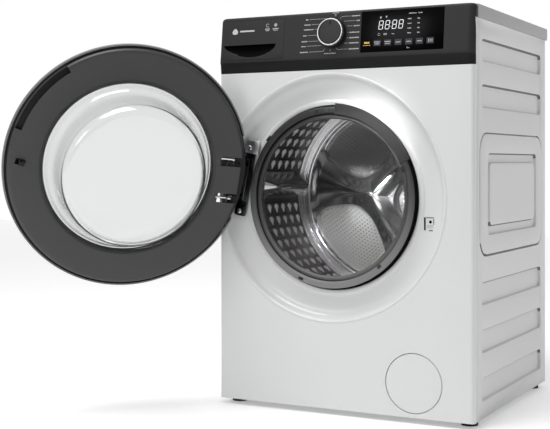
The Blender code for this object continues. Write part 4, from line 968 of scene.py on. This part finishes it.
def hinge():
    def steel(name, low, high, bevel, material=DARK_STEEL, body="cabinet", where=HINGE_FRAME):
        block(name, low, high, material, body, "zinc_plate", where, bevel)

    mesh = filled("hinge_plate", [rounded(0.0285, 0.164, 0.0045, 5)], 0.0033)
    plate = new_piece("hinge_plate", mesh, DARK_STEEL, "cabinet", "zinc_plate",
        HINGE_FRAME @ Matrix.Translation((-0.21475, 0.01715, -0.004)) @ UPRIGHT)
    bevelled(plate, 0.0008)
    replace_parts(plate, "hinge_bracket")
    steel("hinge_plate_ear", (-0.2288, 0.0153, 0.056), (-0.1936, 0.0187, 0.086), 0.0009, ZINC)
    steel("hinge_plate_rib", (-0.2175, 0.014, -0.052), (-0.212, 0.0162, 0.044), 0.0008)
    for height, side, tag, screw_height in zip(arm_heights(), (1, -1), ("upper", "lower"), (0.068, -0.076)):
        lug = height - side * 0.0048
        steel(f"hinge_lug_{tag}", (-0.0015, -0.006, lug - 0.0025), (0.013, 0.02, lug + 0.0025), 0.0006,
            where=AXIS_FRAME)
        spindle(f"hinge_lug_eye_{tag}", HINGE + AXIS * (lug - 0.0023), HINGE + AXIS * (lug + 0.0023), 0.0064,
            DARK_STEEL, "cabinet", "zinc_plate")
        low, high = sorted((height + side * 0.0002, height + side * 0.005))
        eye = spindle(f"hinge_arm_eye_{tag}", HINGE + AXIS * low, HINGE + AXIS * high, 0.007, ARM_STEEL,
            "door", "zinc_plate")
        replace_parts(eye, f"hinge_arm_{tag}")
        steel(f"hinge_arm_blade_{tag}", (0.0, -0.006, low + 0.0003), (0.045, 0.004, high - 0.0003), 0.0009,
            ARM_STEEL, "door", OPENED @ AXIS_FRAME)
        steel(f"hinge_arm_flange_{tag}", (0.038, -0.006, height - 0.009), (0.045, 0.0145, height + 0.009),
            0.0012, ARM_STEEL, "door", OPENED @ AXIS_FRAME)
        middle = HINGE + AXIS * height
        shift = AXIS * (0.0017 if side < 0 else 0.0)
        pin = spindle(f"hinge_pin_head_{tag}", middle - AXIS * 0.0085 + shift, middle + AXIS * 0.0068 + shift,
            0.003, CHROME, "cabinet", "stainless", 0.0005, 24)
        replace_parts(pin, f"hinge_pin_{tag}")
        head = Matrix.Translation(HINGE_FRAME @ Vector((-0.217, 0.0, screw_height))) \
            @ Matrix.Rotation(-math.pi / 2, 4, "X")
        outline = [(0.0, 0.0128), (0.0022, 0.0129), (0.0042, 0.0134), (0.0055, 0.0144), (0.0058, 0.0153),
            (0.003, 0.0153), (0.003, 0.033), (0.0, 0.033)]
        screw = turned(f"hinge_screw_head_{tag}", outline, CHROME, "cabinet", "zinc_plate", head, 32)
        carve(screw, [block_mesh("cross", (-0.003, -0.0006, 0.01), (0.003, 0.0006, 0.0142)),
            block_mesh("cross", (-0.0006, -0.003, 0.01), (0.0006, 0.003, 0.0142))], head)
        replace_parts(screw, f"hinge_screw_{tag}")


door()
hinge()


# ---------------------------------------------------------------- porthole
TRIM_PATH = [(0.18, 0.0105), (0.182, 0.007), (0.184, 0.0062), (0.1925, 0.0064), (0.1955, 0.0085),
    (0.199, 0.0205), (0.199, 0.0218), (0.1945, 0.0218), (0.1945, 0.042), (0.1905, 0.042), (0.1905, 0.018),
    (0.18, 0.0135)]
# Painted shade: outside this radius the trim is drawn in black, for the shadow its outer edge lies in.
TRIM_SHADE_R = 0.1962                         # the trim's outer edge lies in its own shadow from here
BOOT_PATH = [(0.189, 0.0185), (0.185, 0.016), (0.173, 0.0125), (0.169, 0.0165), (0.172, 0.023),
    (0.186, 0.033), (0.186, 0.044), (0.201, 0.056), (0.2045, 0.064), (0.205, 0.086)]


def porthole():
    mesh = lathe("porthole_ring", soften(TRIM_PATH + TRIM_PATH[:1], 0.0012, 3)[:-1], 160)
    # The trim ring's finish carries a painted sheen, lighter towards its bottom.
    ring = new_piece("porthole_ring", mesh, RING_TRIM, "cabinet", "dark_grey_plastic", PORTHOLE)
    # The trim's outer edge is drawn black: painted shade.
    second_finish(mesh, PIT, lambda face: face.center.xy.length > TRIM_SHADE_R)
    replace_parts(ring, "porthole_trim")
    # Thin black ring in the groove where the trim meets the boot's lip: painted shade in the gap.
    turned("porthole_groove_painted_shade", [(0.1792, 0.0128), (0.1803, 0.0098), (0.181, 0.01), (0.1802, 0.0136)], PIT,
        "cabinet", "dark_grey_plastic", PORTHOLE, 160)
    # Moulded plate over the trim, towards the top on the lock's side.
    outline = [(0.1788, 0.0062), (0.1795, 0.0052), (0.2015, 0.0052), (0.2035, 0.006), (0.2035, 0.0075),
        (0.2015, 0.0085), (0.1788, 0.009)]
    mesh = lathe("trim_shield", outline, 40, True, (math.radians(-86), math.radians(-24)))
    bevelled(new_piece("trim_shield", mesh, SHIELD, "cabinet", "dark_grey_plastic", PORTHOLE), 0.001)
    for letter, angle, radius, wide, deep, paint in (("a", 20, 0.1815, 0.011, 0.009, BLACK),
            ("b", -51, 0.185, 0.01, 0.007, TRIM), ("c", 92, 0.188, 0.008, 0.008, TRIM),
            ("d", 99, 0.188, 0.008, 0.008, BLACK), ("e", -111, 0.1895, 0.012, 0.006, BLACK),
            ("f", 139, 0.1955, 0.014, 0.006, BLACK)):
        block("trim_clip_" + letter, (radius - deep / 2, -wide / 2, 0.0056),
            (radius + deep / 2, wide / 2, 0.009), paint, "cabinet", "dark_grey_plastic",
            PORTHOLE @ Matrix.Rotation(math.radians(-angle), 4, "Z"))
    boot = turned("boot_bellows", sheet_outline(soften(BOOT_PATH, 0.004, 4), -0.0028), RUBBER, "cabinet",
        "grey_rubber", PORTHOLE, 160, True, 60.0)
    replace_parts(boot, "door_gasket")


# ---------------------------------------------------------------- drum
DRUM_R = 0.232
DRUM_FRONT = 0.088
LIFTER_ANGLES = [math.radians(174.5 + 120 * i) for i in range(3)]
LIFTER_START, LIFTER_END = 0.102, 0.324
BUMP_HEAD, BUMP_TAIL, BUMP_HALF, BUMP_RISE = 8.0, 15.0, 10.5, 4.4   # sizes of one bump, in millimetres
BUMP_COLUMNS = [0.129 + 0.034 * i for i in range(6)]
ROW_START, ROW_PITCH, ROW_COUNT = math.radians(13.0), math.radians(7.23), 14


def smooth_step(t):
    t = max(0.0, min(1.0, t))
    return t * t * (3 - 2 * t)


def bump_height(across, along):
    """Height of one teardrop, in millimetres: a round head and a tail that runs out."""
    if not -BUMP_HEAD < along < BUMP_TAIL or abs(across) > BUMP_HALF:
        return 0.0
    if along < 0:
        ridge = 1 - (along / BUMP_HEAD) ** 2
        half = BUMP_HALF * math.sqrt(ridge)
    else:
        ridge = 1 - 0.65 * (along / BUMP_TAIL)
        half = BUMP_HALF * (1 - along / BUMP_TAIL) ** 0.85
    if half < 0.3 or abs(across) >= half:
        return 0.0
    return BUMP_RISE * ridge * (1 - (across / half) ** 2) ** 0.8


def on_wall(radius, angle, depth):
    return (radius * math.cos(angle), -radius * math.sin(angle), depth)


def drum_piece(name, mesh, material, smooth=180.0):
    return new_piece(name, mesh, material, "drum", "stainless", PORTHOLE, smooth)


def dots(name, verts):
    """Black eight-sided spots that stand for holes, painted shade where the holes are, listed as one run of
    points.
    """
    faces = [tuple(range(i, i + 8)) for i in range(0, len(verts), 8)]
    drum_piece(name, mesh_of(name, verts, faces, weld=False), PIT, 0)


def pressed_ring(name, path, corner, steps, thickness, material, facets):
    outline = sheet_outline(soften(path, corner, steps), -thickness)
    turned(name, outline, material, "drum", "stainless", PORTHOLE, facets, True, 60.0)


def drum_wall():
    steps, rings = 900, 150
    first, last = DRUM_FRONT + 0.0015, 0.3215
    whole = 2 * math.pi
    rows = [base + ROW_START + ROW_PITCH * k for base in LIFTER_ANGLES for k in range(ROW_COUNT)]
    verts = []
    for i in range(steps):
        angle = whole * i / steps
        near = min(rows, key=lambda row: abs((angle - row + math.pi - 0.012) % whole - math.pi))
        along = ((angle - near + math.pi) % whole - math.pi) * DRUM_R * 1000
        for j in range(rings + 1):
            y = first + (last - first) * j / rings
            column = min(BUMP_COLUMNS, key=lambda middle: abs(y - middle))
            verts.append(on_wall(DRUM_R - bump_height((y - column) * 1000, along) / 1000, angle, y))
    mesh = mesh_of("drum_wall", verts, lattice(steps, rings + 1, rows_meet=True), weld=False)
    item = drum_piece("drum_wall", mesh, WALL_SHADE_STEEL)
    # The bumps get the near white copy and the wall between them the dark copy: painted highlight and painted
    # shade.
    second_finish(mesh, BUMP_HIGHLIGHT_STEEL, lambda face: face.center.xy.length < DRUM_R - 0.0009)
    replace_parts(item, "drum_shell")
    # Turned-in front edge, and the corner and bead where the wall meets the back.
    pressed_ring("drum_front_edge", [(0.206, DRUM_FRONT + 0.004), (0.208, DRUM_FRONT), (0.222, DRUM_FRONT),
        (0.232, DRUM_FRONT + 0.01), (0.232, DRUM_FRONT + 0.016)], 0.006, 5, 0.0012, STEEL, 160)
    pressed_ring("drum_corner", [(0.232, 0.3185), (0.232, 0.332), (0.229, 0.344), (0.2215, 0.344),
        (0.217, 0.336), (0.213, 0.329), (0.209, 0.329), (0.205, 0.333)], 0.0045, 5, 0.001, BACK_STEEL, 200)
    # Perforations between the rows of bumps, drawn as black spots: painted shade for the holes.
    verts = []
    for base in LIFTER_ANGLES:
        for k in range(ROW_COUNT + 1):
            angle = base + ROW_START + ROW_PITCH * (k - 0.38)
            for column in BUMP_COLUMNS:
                for dy in (-0.017, -0.0085, 0.0, 0.0085):
                    verts += [on_wall(DRUM_R - 0.00015, angle + across / DRUM_R,
                        column + dy + along) for across, along in circle(0.0016, 8)]
    dots("drum_wall_perforations", verts)


def lifters():
    across_steps, along_steps = 28, 60
    for number, middle in enumerate(LIFTER_ANGLES, 1):
        verts = []
        for i in range(along_steps + 1):
            t = i / along_steps
            y = LIFTER_START + (LIFTER_END - LIFTER_START) * t
            tall = 0.04 * smooth_step(t / 0.22) * smooth_step((1 - t) / 0.16)
            width = 0.031 * (0.75 + 0.25 * smooth_step(t / 0.15) * smooth_step((1 - t) / 0.12))
            for j in range(across_steps + 1):
                s = -1 + 2 * j / across_steps
                rise = tall * max(0.0, math.cos(math.pi / 2 * s)) ** 1.25
                verts.append(on_wall(DRUM_R - 0.0004 - rise, middle + s * width / DRUM_R, y))
        mesh = mesh_of(f"drum_paddle_{number}", verts, lattice(along_steps + 1, across_steps + 1))
        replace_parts(drum_piece(mesh.name, mesh, STEEL, 60.0), f"drum_lifter_{number}")


ARM_ANGLES = [math.radians(172), math.radians(52), math.radians(-68)]
STAR_R = 0.2075


def star_depth(x, z):
    """Depth of the drum's back, a dome with three arms, and how far it is pressed in here, 0 to 1."""
    r = math.hypot(x, z)
    dome = 0.333 - 0.08 * (1 - smooth_step(r / 0.225)) ** 1.15
    inside = [STAR_R - 0.006 - r]
    crown = 0.0
    for arm in ARM_ANGLES:
        along = x * math.cos(arm) + z * math.sin(arm)
        off = abs(-x * math.sin(arm) + z * math.cos(arm))
        half = 0.026 + 1.1 * r * r
        if along > 0:
            inside.append(off - half)
            crown = max(crown, smooth_step(1 - off / (half + 0.004)) * smooth_step((STAR_R - r) / 0.03))
        else:
            inside.append(math.hypot(along, off) - 0.026)
    soft = 0.012
    field = -soft * math.log(sum(math.exp(-value / soft) for value in inside))
    press = smooth_step(field / 0.0075)
    floor = dome + 0.016 * smooth_step(r / 0.06) - 0.004 * smooth_step(r / 0.2)
    return (dome - 0.01 * crown) * (1 - press) + floor * press, press


def drum_back():
    spokes, rings = 540, 150
    verts = [(0.0, 0.0, star_depth(0.0, 0.0)[0])]
    for j in range(1, rings + 1):
        verts += [(x, -z, star_depth(x, z)[0]) for x, z in circle(STAR_R * j / rings, spokes)]
    faces = [(0, 1 + i, 1 + (i + 1) % spokes) for i in range(spokes)]
    faces += [tuple(1 + i for i in face) for face in lattice(rings, spokes, columns_meet=True)]
    mesh = mesh_of("drum_star", verts, faces, weld=False)
    item = drum_piece("drum_star", mesh, BACK_STEEL)
    # The pressed fields get the darker copy: painted shade, partly the perforated sheet's own dullness.
    second_finish(mesh, FIELD_SHADE_STEEL, lambda face: star_depth(face.center.x, -face.center.y)[1] > 0.9)
    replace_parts(item, "drum_back")

    # Perforations in the pressed fields, in arcs round the axis: small raised rims drawn near white as
    # painted highlight, with black middles as painted shade for the holes.
    def loop(spot, radius, rise):
        return [(spot[0] + dx, -(spot[1] + dz), spot[2] - rise) for dx, dz in circle(radius, 8)]

    rims, rim_faces, holes = [], [], []
    for j in range(17):
        r = 0.062 + 0.0084 * j
        count = int(2 * math.pi * r / 0.0088)
        for i in range(count):
            a = 2 * math.pi * (i + 0.5 * (j % 2)) / count
            x, z = r * math.cos(a), r * math.sin(a)
            depth, press = star_depth(x, z)
            if press < 0.999 or star_depth(x * 1.02, z * 1.02)[1] < 0.999:
                continue
            rim_faces += [tuple(len(rims) + k for k in face) for face in lattice(2, 8, columns_meet=True)]
            rims += loop((x, z, depth), 0.0031, 0.0001) + loop((x, z, depth), 0.0019, 0.0012)
            holes += loop((x, z, depth), 0.0019, 0.0008)
    # The rims are drawn near white: painted highlight.
    drum_piece("drum_back_rims", mesh_of("drum_back_rims", rims, rim_faces, weld=False), RIM_STEEL, 60.0)
    dots("drum_back_perforations", holes)


porthole()
drum_wall()
lifters()
drum_back()


# ---------------------------------------------------------------- carried-over pieces
SLOT_LOOKS = {"white_enamel": WHITE, "pale_grey_enamel": SIDE, "worktop_grey": LID, "black_plastic": BLACK,
    "gloss_black": SCREEN, "dark_grey_plastic": TRIM, "door_shell_grey": SHELL, "grey_rubber": RUBBER,
    "glass": GLASS, "stainless": STEEL, "zinc_plate": ZINC, "galvanised": GALVANISED, "cast_aluminium": CAST,
    "tub_plastic": TUB, "concrete": STONE, "belt_rubber": DARK_RUBBER, "circuit_board": BOARD}
for part in frame["record"]["subparts"]:
    node = frame["nodes"][part["node"]]
    for holder in node.material_slots:
        holder.link = "OBJECT"
        holder.material = SLOT_LOOKS[part["material_slot"]]

# ---------------------------------------------------------------- floor, light and camera
floor_paint = finish("studio_floor", grey(0.86), 0.6, tone=0.01, grain=60.0, depth=0.00002, patch=1.5,
    Emission_Color=(1.0, 1.0, 1.0, 1.0), Emission_Strength=0.27)
backdrop_paint, _, backdrop_shader = nodes_of("studio_backdrop")
put(backdrop_shader, Base_Color=(0.0, 0.0, 0.0, 1.0), Specular_IOR_Level=0.0,
    Emission_Color=(1.0, 1.0, 1.0, 1.0), Emission_Strength=1.0)


def staged(name, corners, material):
    mesh = bpy.data.meshes.new(name)
    mesh.from_pydata(corners, [], [(0, 1, 2, 3)])
    mesh.materials.append(material)
    item = linked(name, mesh)
    return item


staged("floor", [(-14, -14, 0), (14, -14, 0), (14, 14, 0), (-14, 14, 0)], floor_paint)
staged("backdrop", [(-14, 6, -0.5), (14, 6, -0.5), (14, 6, 9), (-14, 6, 9)], backdrop_paint)
# A dark screen in front of the machine, seen only in reflections, keeps the metal from looking flat.
dark_screen = staged("dark_screen", [(-3.5, -5.5, 0), (4.5, -5.5, 0), (4.5, -5.5, 2.4), (-3.5, -5.5, 2.4)],
    PIT)
dark_screen.visible_camera = False

world = bpy.data.worlds.new("studio")
world.use_nodes = True
bpy.context.scene.world = world
put(world.node_tree.nodes["Background"], Color=(1.0, 1.0, 1.0, 1.0), Strength=0.42)


def softbox(name, place, target, size, power, spread=180.0):
    lamp = bpy.data.lights.new(name, "AREA")
    lamp.shape = "RECTANGLE"
    lamp.size, lamp.size_y = size
    lamp.energy = power
    lamp.spread = math.radians(spread)
    item = linked(name, lamp)
    item.location = place
    item.rotation_euler = (Vector(target) - Vector(place)).to_track_quat("-Z", "Y").to_euler()


softbox("front_box", (-1.3, -3.5, 2.0), (-0.05, -0.2, 0.5), (1.4, 1.2), 27.0)
softbox("top_box", (-0.45, -1.1, 3.2), (0.0, 0.0, 0.5), (1.6, 1.6), 66.0)
softbox("drum_box", (0.32, -1.25, 0.98), (-0.06, 0.05, 0.43), (0.12, 0.12), 0.34, 11.0)

lens = bpy.data.cameras.new("camera")
lens.lens = 76.67
lens.sensor_width = 36.0
lens.shift_y = -0.0941
camera = linked("camera", lens)
camera.location = (1.0536, -2.5428, 0.54)
camera.rotation_euler = (math.radians(90.0), 0.0, math.radians(28.05))
bpy.context.scene.camera = camera
bpy.context.scene.view_settings.view_transform = "Standard"
